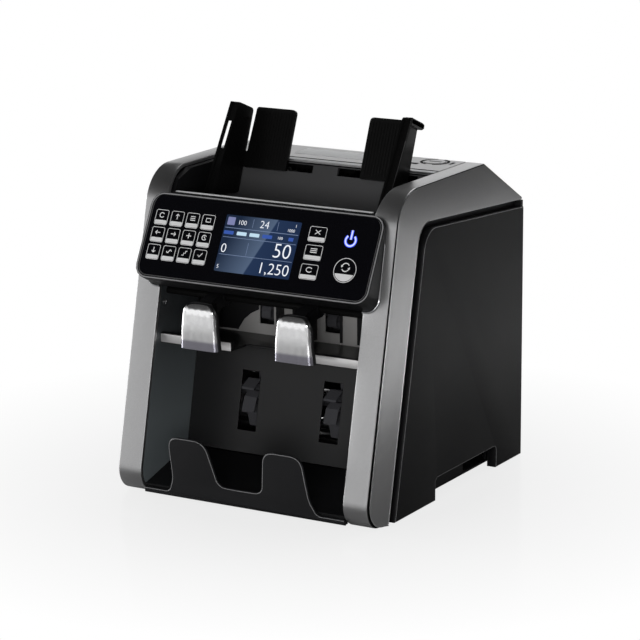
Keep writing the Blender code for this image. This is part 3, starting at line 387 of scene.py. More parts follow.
def brushed(name, colour, roughness, along):
    """Bare metal with long scratches along one axis."""
    made = Finish(name, colour, roughness, 1.0)
    stretch = [1.0, 1.0, 1.0]
    stretch[along] = 0.02
    scratch = made.noise(SCRATCH_SCALE, 2.0, stretch)
    made.shades(scratch, 0.85, 1.12)
    made.rough(scratch, roughness * 0.8, roughness * 1.25)
    return made.bump(scratch, 0.08, SCRATCH_DEPTH)


def paint():
    """Metallic paint: bright flakes in a grey coat, over a faint orange-peel relief."""
    made = Finish("metallic_paint", (0.46, 0.46, 0.465), 0.3, 0.92, Coat_Weight=0.1)
    flake = made.noise(3600.0, 2.0)
    made.shades(flake, 0.6, 1.4)
    made.rough(made.noise(900.0), 0.28, 0.38)
    return made.bump(flake, 0.10, SCRATCH_DEPTH)


def lit(name, colour, strength):
    """A lit mark on the display."""
    made = Finish(name, (0.02, 0.02, 0.02), 0.3)
    glow = made.noise(400.0)
    made.set("Emission Color", made.mix(glow, (*(c * 0.92 for c in colour), 1.0), (*colour, 1.0)))
    made.set("Emission Strength", strength)
    return made


def screen_glow():
    """The display's ground: deep blue, a paler wedge to the left of a slanting line, which is painted glare
    on the glass, and a pixel grain.
    """
    made = Finish("screen_glow", (0.01, 0.015, 0.03), 0.15)
    up = (made.place("Z") * (1 / MM) - PANEL_Z) * (1 / math.cos(PANEL_TILT)) - SCREEN_LOW
    beyond = made.place("X") * (1 / MM) - up * WEDGE_SLANT - WEDGE_FOOT
    to_line, from_line = made.ramp(beyond, -WEDGE_PALE, 0.0), made.ramp(beyond, 0.0, WEDGE_DEEP)
    # The pale side of the wedge is painted glare.
    pale = made.mix(to_line, (0.008, 0.016, 0.036, 1.0), (0.085, 0.125, 0.20, 1.0))
    deep = made.mix(from_line, (0.014, 0.030, 0.075, 1.0), (0.008, 0.018, 0.052, 1.0))
    ground = made.mix(made.ramp(beyond, -WEDGE_SOFT, WEDGE_SOFT), pale, deep)
    made.set("Emission Color", made.mix(made.noise(5000.0) * 0.15, ground, (0.0, 0.0, 0.01, 1.0)))
    made.set("Emission Strength", 1.0)
    return made


def frosted():
    """Frosted flap plastic: near white, with a violet tint that gathers at the lower rim."""
    made = Finish("frosted_flap", (0.95, 0.95, 0.97), 0.2, 0.9)
    rise = made.ramp(made.place("Z"), *FLAP_RIM_Z)
    cloud = made.noise(220.0)
    body = made.mix(cloud, (0.90, 0.90, 0.92, 1.0), (1.0, 1.0, 1.0, 1.0))
    made.set("Base Color", made.mix(rise, (0.40, 0.39, 0.45, 1.0), body))
    made.rough(cloud, 0.14, 0.26)
    return made


def lined():
    """Slate plastic of the pocket liners with painted shade: paler towards the foot, darker towards the top,
    and a fine grain.
    """
    made = grained("liner_slate", (0.19, 0.21, 0.22), 0.38, 1800.0, relief=0.05)
    height = made.ramp(made.place("Z"), *LINER_SHADE_Z)
    pale = made.mix(made.noise(1800.0), (0.21, 0.24, 0.255, 1.0), (0.25, 0.285, 0.30, 1.0))
    made.set("Base Color", made.mix(height, pale, (0.055, 0.06, 0.065, 1.0)))
    return made


PAINT = paint()
BLACK = grained("satin_black", (0.010, 0.010, 0.011), 0.46, 2600.0, Specular_IOR_Level=0.22)
# Matte black for print and the stopper rod, also used for painted shade: the trims' seam strips and the line
# behind the cover lip.
MATTE_BLACK_AND_SHADE = grained("matte_black_and_painted_shade", (0.004, 0.004, 0.004), 0.7, 2600.0, Specular_IOR_Level=0.1)
MOULDED = grained("moulded_black", (0.008, 0.008, 0.009), 0.36, 2000.0, relief=0.06, Specular_IOR_Level=0.35)
GLOSS = grained("gloss_black", (0.004, 0.004, 0.006), 0.08, 300.0, relief=0.01)
# Dim grey for painted highlights: the panel's inner rim and the guides' front edge lines.
DIM_HIGHLIGHT = grained("painted_dim_highlight", (0.16, 0.16, 0.165), 0.3, 1500.0, relief=0.02)
WALL_BLACK = grained("wall_black", (0.10, 0.10, 0.103), 0.5, 2200.0, Specular_IOR_Level=0.3)
WING = grained("wing_gloss", (0.005, 0.005, 0.005), 0.3, 1500.0, relief=0.03, Specular_IOR_Level=0.2)
LINER = lined()
SHEET = grained("grey_sheet_paint", (0.52, 0.51, 0.50), 0.45, 2200.0, 0.2, 0.08, 0.08)
RAIL = grained("rail_grey", (0.86, 0.85, 0.85), 0.35, 2200.0, 0.6, 0.06, 0.05)
GATE = grained("gate_black", (0.018, 0.018, 0.02), 0.42, 2000.0, relief=0.06, Specular_IOR_Level=0.35)
# Pale grey for painted highlights: the side panels' edge lines, the gate's edge line, the panel's outer rim
# and its side beads.
HIGHLIGHT_GREY = grained("painted_highlight_grey", (0.42, 0.42, 0.43), 0.25, 1500.0, relief=0.02)
STEEL = brushed("bright_steel", (0.55, 0.55, 0.56), 0.30, 0)
# Bright metal for the trims' painted highlight strips.
GLINT = Finish("edge_glint", (0.95, 0.95, 0.96), 0.25, 0.95)
BRIGHT = brushed("bright_rim", (0.60, 0.61, 0.63), 0.22, 0)
RUBBER = grained("black_rubber", (0.022, 0.022, 0.022), 0.85, 1700.0, relief=0.3)
GREY_RUBBER = grained("grey_rubber_tyre", (0.09, 0.09, 0.10), 0.82, 1700.0, relief=0.3)
BOARD = grained("solder_mask", (0.02, 0.14, 0.06), 0.4, 700.0, spread=0.35)
# The key print's faint emission is painted light: the print glows a little though nothing lights it.
PRINT = grained("white_print_painted_glow", (0.9, 0.9, 0.91), 0.5, 1200.0, spread=0.05, relief=0.02,
                Emission_Color=(1.0, 1.0, 1.0, 1.0), Emission_Strength=0.13)
LABEL = grained("blank_label", (0.84, 0.85, 0.86), 0.5, 900.0, spread=0.06, relief=0.03)
FLAP = frosted()
SCREEN = screen_glow()
DIGIT = lit("lit_white", (0.9, 0.93, 1.0), 1.0)
TAB = lit("lit_slate", (0.16, 0.22, 0.36), 1.0)
CHIP = lit("lit_chip", (0.20, 0.22, 0.42), 1.0)
PILL = lit("lit_cyan", (0.55, 0.75, 0.90), 1.0)
PILL_BLUE = lit("lit_pill_blue", (0.03, 0.09, 0.40), 1.0)
BLUE = lit("lit_blue", (0.03, 0.08, 0.9), 1.3)
CORE = lit("lit_core", (0.72, 0.78, 1.0), 1.0)


# Shapes: each is (points in millimetres, quads, end caps)


def loft(grid, caps=True):
    """Quads between the points of a grid whose columns close round; its first and last rows are capped."""
    rows, columns = grid.shape[:2]
    number = np.arange(rows * columns).reshape(rows, columns)
    round_ = np.hstack([number, number[:, :1]])
    quads = np.stack([round_[:-1, :-1], round_[:-1, 1:], round_[1:, 1:], round_[1:, :-1]], axis=-1)
    ends = [number[0, ::-1], number[-1]] if caps else []
    return grid.reshape(-1, 3), quads.reshape(-1, 4), ends


def flipped(shape):
    """The same shape on the other side of the machine."""
    points, quads, ends = shape
    return points * (-1.0, 1.0, 1.0), quads, ends


def anticlockwise(outline):
    """The outline with its inside on the left, judged by the sign of its area."""
    outline = np.asarray(outline, float)
    after = np.roll(outline, -1, axis=0)
    area = np.sum(outline[:, 0] * after[:, 1] - after[:, 0] * outline[:, 1])
    return outline if area > 0 else outline[::-1]


def inset(outline, depth):
    """Each corner moves along the sum of its two edge normals, so that both edges move in by the depth."""
    ahead = np.roll(outline, -1, axis=0) - outline
    ahead = ahead / np.linalg.norm(ahead, axis=1, keepdims=True)
    left = np.stack([-ahead[:, 1], ahead[:, 0]], axis=1)
    before = np.roll(left, 1, axis=0)
    stretch = 1.0 + np.sum(left * before, axis=1, keepdims=True)
    return outline + depth * (left + before) / stretch


def top_view(a, b, w):
    """Outline in X and Y, carried up."""
    return np.stack([a, b, w + 0 * a], axis=-1)


def side_view(a, b, w):
    """Outline in Y and Z, carried along X."""
    return np.stack([w + 0 * a, a, b], axis=-1)


def front_view(a, b, w):
    """Outline in X and Z, carried along Y."""
    return np.stack([a, w + 0 * a, b], axis=-1)


def on_panel(u, v, w):
    """Across the panel, up it, and out from its face."""
    return np.stack([u, PANEL_Y + v * math.sin(PANEL_TILT) - w * math.cos(PANEL_TILT),
                     PANEL_Z + v * math.cos(PANEL_TILT) + w * math.sin(PANEL_TILT)], axis=-1)


def on_wall(x, s, n):
    """Across the hopper's rear wall, up it, and out towards the front."""
    return np.stack([x, WALL_Y + s * math.sin(WALL_TILT) - n * math.cos(WALL_TILT),
                     TOP_Z + s * math.cos(WALL_TILT) + n * math.sin(WALL_TILT)], axis=-1)


def on_gate(x, h, n):
    """Across the gate, up from its foot, and out towards the front."""
    return np.stack([x, GATE_FOOT_Y + h * math.tan(GATE_LEAN) - n, GATE_FOOT_Z + h], axis=-1)


def slab(outline, low, high, edge, view, steps=4):
    """A plate with round edges: near each face the outline draws in along a quarter circle."""
    outline = anticlockwise(outline)
    turn = np.linspace(0.0, QUARTER, steps + 1) if edge else np.array([QUARTER])
    depth = edge * (1 - np.sin(turn))
    rise = edge * (1 - np.cos(turn))
    lower = [(d, low + r) for d, r in zip(depth, rise)]
    upper = [(d, high - r) for d, r in zip(depth[::-1], rise[::-1])]
    return loft(np.stack([view(*inset(outline, d).T, w) for d, w in lower + upper]))


def arc(centre, radius, start, turn, count):
    """Points along part of a circle, angles in degrees."""
    angle = np.radians(np.linspace(start, start + turn, count))
    return np.stack([centre[0] + radius * np.cos(angle), centre[1] + radius * np.sin(angle)], axis=1)


def box_outline(a, b, radius, count=8):
    """A rectangle with round corners."""
    corners = ((a[1] - radius, b[1] - radius, 0), (a[0] + radius, b[1] - radius, 90),
               (a[0] + radius, b[0] + radius, 180), (a[1] - radius, b[0] + radius, 270))
    return np.concatenate([arc((x, y), radius, start, 90, count) for x, y, start in corners])


def softened(corners, reach, count=7):
    """Each corner of an outline becomes a curve: the square-law blend of its two neighbours' sides."""
    corners = np.asarray(corners, float)
    reach = np.broadcast_to(reach, len(corners))[:, None]
    back = np.roll(corners, 1, axis=0) - corners
    ahead = np.roll(corners, -1, axis=0) - corners
    start = corners + back / np.linalg.norm(back, axis=1, keepdims=True) * reach
    end = corners + ahead / np.linalg.norm(ahead, axis=1, keepdims=True) * reach
    t = np.linspace(0.0, 1.0, count)[None, :, None]
    curve = (1 - t) ** 2 * start[:, None] + 2 * t * (1 - t) * corners[:, None] + t ** 2 * end[:, None]
    return curve.reshape(-1, 2)


def stroke(path, width):
    """A line of constant width: the path moved half the width to each side along its normals."""
    path = np.asarray(path, float)
    along = np.gradient(path, axis=0)
    along = along / np.linalg.norm(along, axis=1, keepdims=True)
    side = np.stack([-along[:, 1], along[:, 0]], axis=1) * width / 2
    return np.concatenate([path + side, (path - side)[::-1]])


def printed(outline):
    """A mark on the panel's glass."""
    return slab(outline, GLASS_FACE - PRINT_SINK, GLASS_FACE + PRINT_LIFT, 0.0, on_panel)


def printed_ring(outline, width):
    """A closed line on the panel's glass, of one width inside an outline."""
    return hoop(outline, inset(outline, width), GLASS_FACE - PRINT_SINK, GLASS_FACE + PRINT_LIFT, on_panel)


def hoop(outer, inner, low, high, view):
    """A closed band between two outlines with as many points each."""
    rows = [view(*inner.T, low), view(*outer.T, low), view(*outer.T, high), view(*inner.T, high)]
    rows.append(rows[0])
    return loft(np.stack(rows), caps=False)


SCREW_RINGS = 12
SCREW_SIDES = 48
SCREW_MIDDLE = 0.02
SCREW_ARM = 0.13
SCREW_CROSS = 0.62
SCREW_DOME = 0.30
SCREW_EDGE = 0.12
SCREW_RECESS = 0.26
SCREW_SKIRT = 0.3


def screw_head(centre, radius, view, level):
    """A domed head on a polar grid: height falls with the squared radius, less a cross-shaped recess."""
    share = np.linspace(SCREW_MIDDLE, 1.0, SCREW_RINGS)[:, None]
    turn = np.arange(SCREW_SIDES)[None, :] * FULL / SCREW_SIDES
    a = radius * share * np.cos(turn)
    b = radius * share * np.sin(turn)
    near, far = np.minimum(np.abs(a), np.abs(b)), np.maximum(np.abs(a), np.abs(b))
    cross = (near < radius * SCREW_ARM) & (far < radius * SCREW_CROSS)
    dome = SCREW_DOME * radius * (1 - share ** 2) + SCREW_EDGE * radius
    grid = view(centre[0] + a, centre[1] + b, level + dome - SCREW_RECESS * radius * cross)
    skirt = view(centre[0] + a[-1:], centre[1] + b[-1:], np.full_like(a[-1:], level - SCREW_SKIRT))
    return loft(np.concatenate([grid, skirt]))


DIGIT_DEPTH = 0.06
DIGIT_THINNING = 0.012


def written(text, size, left, low):
    """Plain digits on the display: the letter outlines of the built-in font, as a thin solid."""
    curve = bpy.data.curves.new("digits", "FONT")
    curve.body = text
    curve.size = size
    curve.extrude = DIGIT_DEPTH
    curve.offset = -DIGIT_THINNING * size
    curve.resolution_u = 6
    letters = bpy.data.objects.new("digits", curve)
    bpy.context.collection.objects.link(letters)
    bpy.context.view_layer.update()
    mesh = bpy.data.meshes.new_from_object(letters.evaluated_get(bpy.context.evaluated_depsgraph_get()))
    flat = np.empty(len(mesh.vertices) * 3)
    mesh.vertices.foreach_get("co", flat)
    flat = flat.reshape(-1, 3)
    faces = [np.array(face.vertices) for face in mesh.polygons]
    bpy.data.objects.remove(letters)
    bpy.data.curves.remove(curve)
    bpy.data.meshes.remove(mesh)
    points = on_panel(flat[:, 0] + left, flat[:, 1] + low, flat[:, 2] + GLASS_FACE)
    return points, np.empty((0, 4), int), faces


# Objects


CREASE = 35.0
TRIM_CREASE = 28.0
FLAT_ANGLE = 1.5
BEVEL_ANGLE = 40.0
MERGE_PIECE = 1e-7
MERGE_SOLID = 1e-6


def dressed(made, finish, body, stands_for, crease=CREASE):
    """Shade a mesh, give it its finish and tie it to its body."""
    made.data.materials.clear()
    made.data.materials.append(finish.material)
    made.data.shade_smooth()
    made.data.set_sharp_from_angle(angle=math.radians(crease))
    bpy.context.collection.objects.link(made)
    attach(made, body)
    if stands_for:
        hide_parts(*stands_for)
    return made


def piece(name, shapes, finish, body="case", stands_for=(), crease=CREASE):
    """One object from several closed shapes, moved to the part's frame."""
    starts = np.cumsum([0] + [len(points) for points, quads, ends in shapes])
    points = np.concatenate([points for points, quads, ends in shapes])
    faces = []
    for start, (_, quads, ends) in zip(starts, shapes):
        faces += (quads + start).tolist()
        faces += [(end + start).tolist() for end in ends]
    mesh = bpy.data.meshes.new(name)
    mesh.from_pydata(((points - (0.0, MIDDLE_Y, 0.0)) * MM).tolist(), [], faces)
    clean = bmesh.new()
    clean.from_mesh(mesh)
    bmesh.ops.remove_doubles(clean, verts=clean.verts, dist=MERGE_PIECE)
    bmesh.ops.recalc_face_normals(clean, faces=clean.faces)
    clean.to_mesh(mesh)
    clean.free()
    return dressed(bpy.data.objects.new(name, mesh), finish, body, stands_for, crease)


BODY_OF = {node: body for body, nodes in record["behaviour"]["bodies"].items() for node in nodes}


def eased(node, finish, edge=0.5):
    """A solid of the machine with its edges rounded: its triangles merged, then bevelled."""
    mesh = frame["nodes"][node].data.copy()
    clean = bmesh.new()
    clean.from_mesh(mesh)
    bmesh.ops.remove_doubles(clean, verts=clean.verts, dist=MERGE_SOLID)
    flat = math.radians(FLAT_ANGLE)
    bmesh.ops.dissolve_limit(clean, angle_limit=flat, verts=clean.verts, edges=clean.edges)
    clean.to_mesh(mesh)
    clean.free()
    made = dressed(bpy.data.objects.new(f"{node}_eased", mesh), finish, BODY_OF[node], (node,))
    bevel = made.modifiers.new("edge", "BEVEL")
    bevel.width = edge * MM
    bevel.segments = 2
    bevel.limit_method = "ANGLE"
    bevel.angle_limit = math.radians(BEVEL_ANGLE)
    bevel.harden_normals = True
    return made


def recoat(finish, *nodes):
    """Give solids that stay as they are a better material."""
    for node in nodes:
        for place in frame["nodes"][node].material_slots:
            place.material = finish.material


# Case


def lean_y(z):
    """Where the leaning front lies at a height."""
    return z * LEAN


def groove_z(y):
    """Upper edge of the groove round the raised side panel."""
    return GROOVE_FRONT_Z - (y - GROOVE_FRONT_Y) * GROOVE_DROP


def trim_path():
    """The trim's path in Y and Z: round foot, leaning front, round brow, flat top, rear slope.

    Returns the path, its inward normals, the inner edge's X and the band edge's path.
    """
    foot_z = TRIM_FOOT_Z + FOOT_RADIUS
    foot_y = (FOOT_RADIUS + foot_z * math.sin(FRONT_LEAN)) / math.cos(FRONT_LEAN)
    foot = np.radians(np.linspace(-90.0, -180.0 - math.degrees(FRONT_LEAN), 13))
    foot_line = np.stack([foot_y + FOOT_RADIUS * np.cos(foot), foot_z + FOOT_RADIUS * np.sin(foot)], axis=1)
    foot_in = -np.stack([np.cos(foot), np.sin(foot)], axis=1)
    foot_band = np.stack([BAND_DEPTH + lean_y(foot_line[:, 1]), foot_line[:, 1]], axis=1)
    brow_z = TOP_Z - BROW_RADIUS
    brow_y = lean_y(brow_z) + BROW_RADIUS / math.cos(FRONT_LEAN)
    share = np.linspace(0.0, 1.0, 19)
    turn = math.pi - FRONT_LEAN - (QUARTER - FRONT_LEAN) * share
    way = np.stack([np.cos(turn), np.sin(turn)], axis=1)
    brow_line = np.array([brow_y, brow_z]) + BROW_RADIUS * way
    brow_band = np.array([GROOVE_FRONT_Y, GROOVE_FRONT_Z - PANEL_CORNER_R]) + PANEL_CORNER_R * way
    slope = math.atan2(TOP_Z - SLOPE_END_Z, SLOPE_END_Y - TOP_REAR_Y)
    bend = slope * np.array([0.25, 0.5, 0.75])
    bend_y = TOP_REAR_Y + BEND_HALF * np.array([-1.0, 0.0, 1.0])
    bend_line = np.column_stack([bend_y, TOP_Z - np.array(BEND_FALL)])
    rear_line = np.concatenate([bend_line, [[SLOPE_END_Y, SLOPE_END_Z]]])
    rear_in = np.concatenate([-np.stack([np.sin(bend), np.cos(bend)], axis=1),
                              [[-math.sin(slope), -math.cos(slope)]]])
    rear_band = np.stack([rear_line[:, 0], groove_z(rear_line[:, 0])], axis=1)
    toe = np.array([[foot_y + TOE_REACH, TRIM_FOOT_Z]])
    toe_band = np.array([[foot_y + TOE_BAND_REACH, TRIM_FOOT_Z]])
    path = np.concatenate([toe, foot_line, brow_line, rear_line])
    inward = np.concatenate([[[0.0, 1.0]], foot_in, -way, rear_in])
    band = np.concatenate([toe_band, foot_band, brow_band, rear_band])
    brow_inner = PILLAR_INNER_X + (STRIP_INNER_X - PILLAR_INNER_X) * share
    inner = np.concatenate([np.full(1 + len(foot), PILLAR_INNER_X), brow_inner,
                            np.full(len(rear_line), STRIP_INNER_X)])
    return path, inward, inner, band


def trim_edges():
    """Along the trim: outer front corner, band's edge, the way between them, the way in, the seam's end.

    On the rear slope the outer corner runs out along the band's plane, in step with the fall from the top.
    """
    path, inward, _, band = trim_path()
    fall = np.where(path[:, 0] > TOP_REAR_Y - 1, (TOP_Z - path[:, 1]) / (TOP_Z - band[:, 1]), 0.0)
    outer = np.column_stack([PILLAR_EDGE_X + (BAND_EDGE_X - PILLAR_EDGE_X) * fall, path])
    edge = np.column_stack([np.full(len(path), BAND_EDGE_X), band])
    reach = np.linalg.norm(edge - outer, axis=1, keepdims=True)
    ahead = (edge - outer) / reach
    deep = np.column_stack([np.full(len(path), SEAM_WAY[0]), inward * SEAM_WAY[1]])
    end = np.interp(path[:, 1:], SEAM_HEIGHTS, (SEAM_WIDE, SEAM_NARROW))
    return outer, edge, ahead, deep, np.minimum(end, SEAM_SHARE * reach)


def seam_shade_shape():
    """Painted shade in the seam between face and band: a flat black strip along the seam's floor."""
    outer, _, ahead, deep, end = trim_edges()
    corners = ((SEAM_START, SEAM_FLOOR), (end, SEAM_FLOOR), (end, SEAM_UNDER), (SEAM_START, SEAM_UNDER))
    rows = [outer + a * ahead + d * deep for a, d in corners]
    return loft(np.stack(rows, axis=1))


def glint_shapes():
    """Painted highlights: thin bright strips where the trim's edges catch the light, beside the seam and
    along the band's rear edge.
    """
    outer, edge, ahead, deep, end = trim_edges()
    front = outer[:, 1] < GLINT_END_Y
    shapes = []
    for line, (first, last) in ((outer + end * ahead, GLINT_BESIDE), (edge, GLINT_REAR)):
        corners = ((first, -GLINT_LIFT), (last, -GLINT_LIFT), (last, GLINT_DEPTH), (first, GLINT_DEPTH))
        rows = [line + a * ahead + d * deep for a, d in corners]
        shapes.append(loft(np.stack(rows, axis=1)[front]))
    return shapes


def trim_shape():
    """The right trim: at each step of its path, a section of face, round edge, seam and slanting band."""
    path, inward, inner, band = trim_path()
    outer, edge, ahead, deep, end = trim_edges()

    def at(x, line):
        return np.column_stack([np.broadcast_to(x, len(path)), line])

    sideways = np.array([1.0, 0.0, 0.0])
    back = path + TRIM_WALL * inward
    lap_x = PILLAR_EDGE_X - TRIM_LAP
    floor_start, floor_end = SEAM_START + SEAM_DRAFT, end - SEAM_DRAFT
    rows = [at(inner, path + TRIM_SOFT * inward), at(inner + TRIM_STEP, path + TRIM_STEP * inward)]
    rows += [at(inner + TRIM_SOFT, path), outer - TRIM_SOFT * sideways]
    rows += [outer - TRIM_STEP * sideways + 0.05 * ahead, outer + TRIM_STEP * ahead]
    rows += [outer + SEAM_START * ahead, outer + floor_start * ahead + SEAM_DEPTH * deep]
    rows += [outer + floor_end * ahead + SEAM_DEPTH * deep, outer + end * ahead]
    rows += [outer + (end + TRIM_STEP) * ahead, edge - TRIM_SOFT * ahead]
    rows += [edge - 0.25 * ahead - 0.2 * sideways, edge - 0.9 * sideways]
    rows += [at(lap_x, band), at(lap_x, back), at(inner, back)]
    return loft(np.stack(rows, axis=1))


def notch_outline():
    """The hand-hold at the foot of a side cover: up, over two round corners, and down again."""
    r = NOTCH_CORNER_R
    first = arc((NOTCH_FRONT_Y + r, NOTCH_Z - r), r, 180, -90, 6)
    last = arc((NOTCH_REAR_Y - r, NOTCH_Z - r), r, 90, -90, 6)
    ends = np.array([[NOTCH_FRONT_Y, COVER_FOOT_Z], [NOTCH_REAR_Y, COVER_FOOT_Z]])
    return np.concatenate([ends[:1], first, last, ends[1:]])


def cover_outline():
    """The raised side panel in Y and Z, with the hand-hold notch at its foot."""
    front = BAND_DEPTH + GROOVE_WIDTH
    centre = (GROOVE_FRONT_Y + GROOVE_WIDTH, GROOVE_FRONT_Z - GROOVE_WIDTH - PANEL_CORNER_R + 2)
    corner = arc(centre, PANEL_CORNER_R, 180 - math.degrees(FRONT_LEAN), math.degrees(FRONT_LEAN) - 94, 18)
    top_end = groove_z(REAR_Y) - GROOVE_WIDTH + 2
    start = [[front + lean_y(COVER_FOOT_Z), COVER_FOOT_Z]]
    return np.concatenate([start, corner, [[REAR_Y, top_end], [REAR_Y, COVER_FOOT_Z]], notch_outline()[::-1]])


def backing_outline():
    """The flat plate behind the raised panel, seen in the groove, with the same notch."""
    inner = TRIM_WALL + BACKING_GAP
    front = [[lean_y(BACKING_HIGH_Z) + inner + BACKING_GAP, BACKING_HIGH_Z],
             [lean_y(BACKING_LOW_Z) + inner, BACKING_LOW_Z],
             [BACKING_TOE_Y, COVER_FOOT_Z + 2 * inner], [BACKING_TOE_Y, COVER_FOOT_Z]]
    rear = [[REAR_Y, COVER_FOOT_Z], [REAR_Y, SLOPE_END_Z - BACKING_SLOPE_DROP],
            [TOP_REAR_Y - BACKING_GAP, TOP_Z - 2 * inner], [BACKING_TOP_Y, TOP_Z - inner - BACKING_GAP]]
    return np.concatenate([front, notch_outline(), rear])


def dress_case():
    """Trims, side covers, top cover, knob, door, rear panel and base."""
    return_z = (COVER_FOOT_Z, SLOPE_END_Z - RETURN_DROP)
    return_outline = box_outline((RETURN_INNER_X, PILLAR_EDGE_X - 1), return_z, 0.5, 2)
    returns = slab(return_outline, REAR_Y - RETURN_DEPTH, REAR_Y, 0.4, front_view)
    raised = slab(cover_outline(), PILLAR_EDGE_X - 1.0, SIDE_X, 1.3, side_view, 4)
    corner_z = (groove_z(REAR_Y) - GROOVE_WIDTH, groove_z(REAR_Y) - 0.3)
    corner_outline = box_outline((PILLAR_EDGE_X - 2, SIDE_X - 0.8), corner_z, 0.4, 2)
    rear_corner = slab(corner_outline, REAR_Y - REAR_CORNER_DEPTH, REAR_Y, 0.4, front_view)
    # A thin pale grey line along the raised panel's rounded edge: painted highlight.
    rim = inset(anticlockwise(cover_outline()), COVER_LINE)
    edge_line = hoop(rim, inset(rim, COVER_LINE), SIDE_X - COVER_LINE, SIDE_X - 0.12, side_view)
    plate = slab(backing_outline(), PILLAR_EDGE_X - 2.5, PILLAR_EDGE_X - 0.5, 0.0, side_view)
    for side, flip in (("right", lambda s: s), ("left", flipped)):
        piece(f"{side}_trim_skin", [flip(trim_shape())], PAINT, stands_for=(f"{side}_trim",),
              crease=TRIM_CREASE)
        # The seam strip is black paint standing for the shade in the seam.
        piece(f"{side}_trim_seam_shade", [flip(seam_shade_shape())], MATTE_BLACK_AND_SHADE)
        piece(f"{side}_trim_glint", [flip(s) for s in glint_shapes()], GLINT)
        cover = [flip(s) for s in (raised, plate, returns, rear_corner)]
        piece(f"{side}_cover_skin", cover, BLACK, stands_for=(f"{side}_side_cover",))
        piece(f"{side}_cover_edge_highlight", [flip(edge_line)], HIGHLIGHT_GREY)
    eased("top_cover", PAINT, 0.6)
    eased("gap_knob", PAINT, 0.5)
    eased("rear_door", BLACK, 0.8)
    eased("rear_panel", BLACK, 0.4)
    eased("base_tray", BLACK, 0.5)
    eased("power_inlet", MOULDED, 0.4)
    eased("power_switch", GLOSS, 0.5)
    eased("front_foot_strip", RUBBER, 0.6)
    eased("rear_foot_strip", RUBBER, 0.6)
    lines = [stroke(arc(KNOB_AT, KNOB_RING_R, start, 150.0, 24), KNOB_LINE) for start in (-75.0, 105.0)]
    lines.append(stroke(arc(KNOB_AT, KNOB_RING_R + 2 * KNOB_LINE, -15.0, 30.0, 8), KNOB_LINE))
    lines.append(stroke([[x, KNOB_TICK_Y] for x in KNOB_TICK_X], 2 * KNOB_LINE))
    # The dark line just behind the cover lip is painted shade; the other lines are printed knob marks.
    lines.append(stroke([[-LIP_HALF, LIP_SHADE_Y], [0.0, LIP_SHADE_Y], [LIP_HALF, LIP_SHADE_Y]], LIP_SHADE_WIDTH))
    marks = [slab(line, TOP_Z - PRINT_SINK, TOP_Z + PRINT_LIFT, 0.0, top_view) for line in lines]
    piece("knob_marks_and_lip_shade", marks, MATTE_BLACK_AND_SHADE)
    label = slab(box_outline(LABEL_X, LABEL_Y, 1.5), TOP_Z - PRINT_SINK, TOP_Z + LABEL_RISE, 0.1, top_view, 2)
    piece("blank_label_plate", [label], LABEL)
    # A pale lip strip along the top cover's front edge: painted highlight.
    lip_outline = box_outline((-LIP_HALF, LIP_HALF), LIP_Y, 0.5)
    lip = slab(lip_outline, TOP_Z - LIP_DEPTH, TOP_Z + LABEL_RISE, 0.3, top_view, 3)
    piece("cover_lip_painted_highlight", [lip], LABEL)


# Rear details


def dress_rear():
    """Vent ribs on the door, screws, and metal shells in the ports."""
    heights = np.arange(*VENT_Z, VENT_PITCH)
    outlines = [box_outline((-VENT_HALF, VENT_HALF), (z, z + VENT_RIB), 1.5, 4) for z in heights]
    ribs = [slab(outline, REAR_Y - VENT_RISE, REAR_Y - 0.02, 0.3, front_view, 2) for outline in outlines]
    piece("door_vent_ribs", ribs, MOULDED, "rear_door")
    spots = [(x, z) for x in (-REAR_SCREW_X, REAR_SCREW_X) for z in REAR_SCREW_Z]
    level = REAR_Y - REAR_SCREW_SINK
    screws = [screw_head(spot, REAR_SCREW_R, lambda a, b, w: front_view(a, b, level + w), -0.3)
              for spot in spots]
    piece("rear_panel_screws", screws, STEEL)
    shells = []
    port_floor = REAR_Y - PORT_DEPTH
    for left in PORT_LEFTS:
        outer = box_outline([left + x for x in PORT_X], PORT_Z, 0.6, 3)
        shells.append(hoop(outer, inset(outer, PORT_WALL), port_floor, REAR_Y - 0.3, front_view))
        tongue = box_outline([left + x for x in TONGUE_X], TONGUE_Z, 0.3, 2)
        shells.append(slab(tongue, port_floor, REAR_Y - TONGUE_SINK, 0.2, front_view, 2))
        shells.append(slab(outer, port_floor - 1.0, port_floor, 0.0, front_view))
    piece("port_shells", shells, STEEL)


# Control panel


BEAD_R = 1.0
BEAD_THIN = 0.4
BEAD_FADE = (6.0, 16.0)
BEAD_LIFT = 0.7
BEAD_TOP = 50.0
BEAD_CORNER = slice(None, 16)
BEAD_SIDE = slice(15, None)
BEAD_GAP = 0.4
BEAD_SIDES = 8
ICON_HALF = 2.5
ICON_LINE = 0.75
ICON_KEY = 6.6
KEY_COLUMNS = np.linspace(-97.4, -51.9, 4)
KEY_ROWS = np.linspace(49.4, 19.3, 3)
KEY_HALF = (6.2, 6.5)
SIDE_KEY_U = 52.5
SIDE_KEY_ROWS = (50.0, 34.5, 18.3)
SIDE_KEY_HALF = (8.0, 6.4)
SIDE_KEY_SIGNS = (12, 2, 0)
BIG_KEY_AT = (84.8, 23.1)
BIG_KEY_R = 10.3
BIG_KEY_LINE = 0.5
BIG_KEY_FILL_R = 9.2
BIG_KEY_SIGN_UP = 2.6
BIG_KEY_SIGN_R = 3.4
BIG_KEY_SIGN_LINE = 0.8
ARROW_LONG = 1.8
ARROW_HALF = 1.2
POWER_AT = (83.7, 48.0)
POWER_R = 4.6
POWER_BAR = (0.8, 4.0, 8.6)
POWER_LINE = 2.5
POWER_CORE = 1.3
CORE_LIFT = 0.05
SCREEN_DEPTH = 4.0
SCREEN_GAP = 0.3
# The rim lines are painted highlights along the housing's edges.
PANEL_RIMS = (("outer", 0.6, 1.0, HIGHLIGHT_GREY), ("inner", 2.7, 0.4, DIM_HIGHLIGHT))


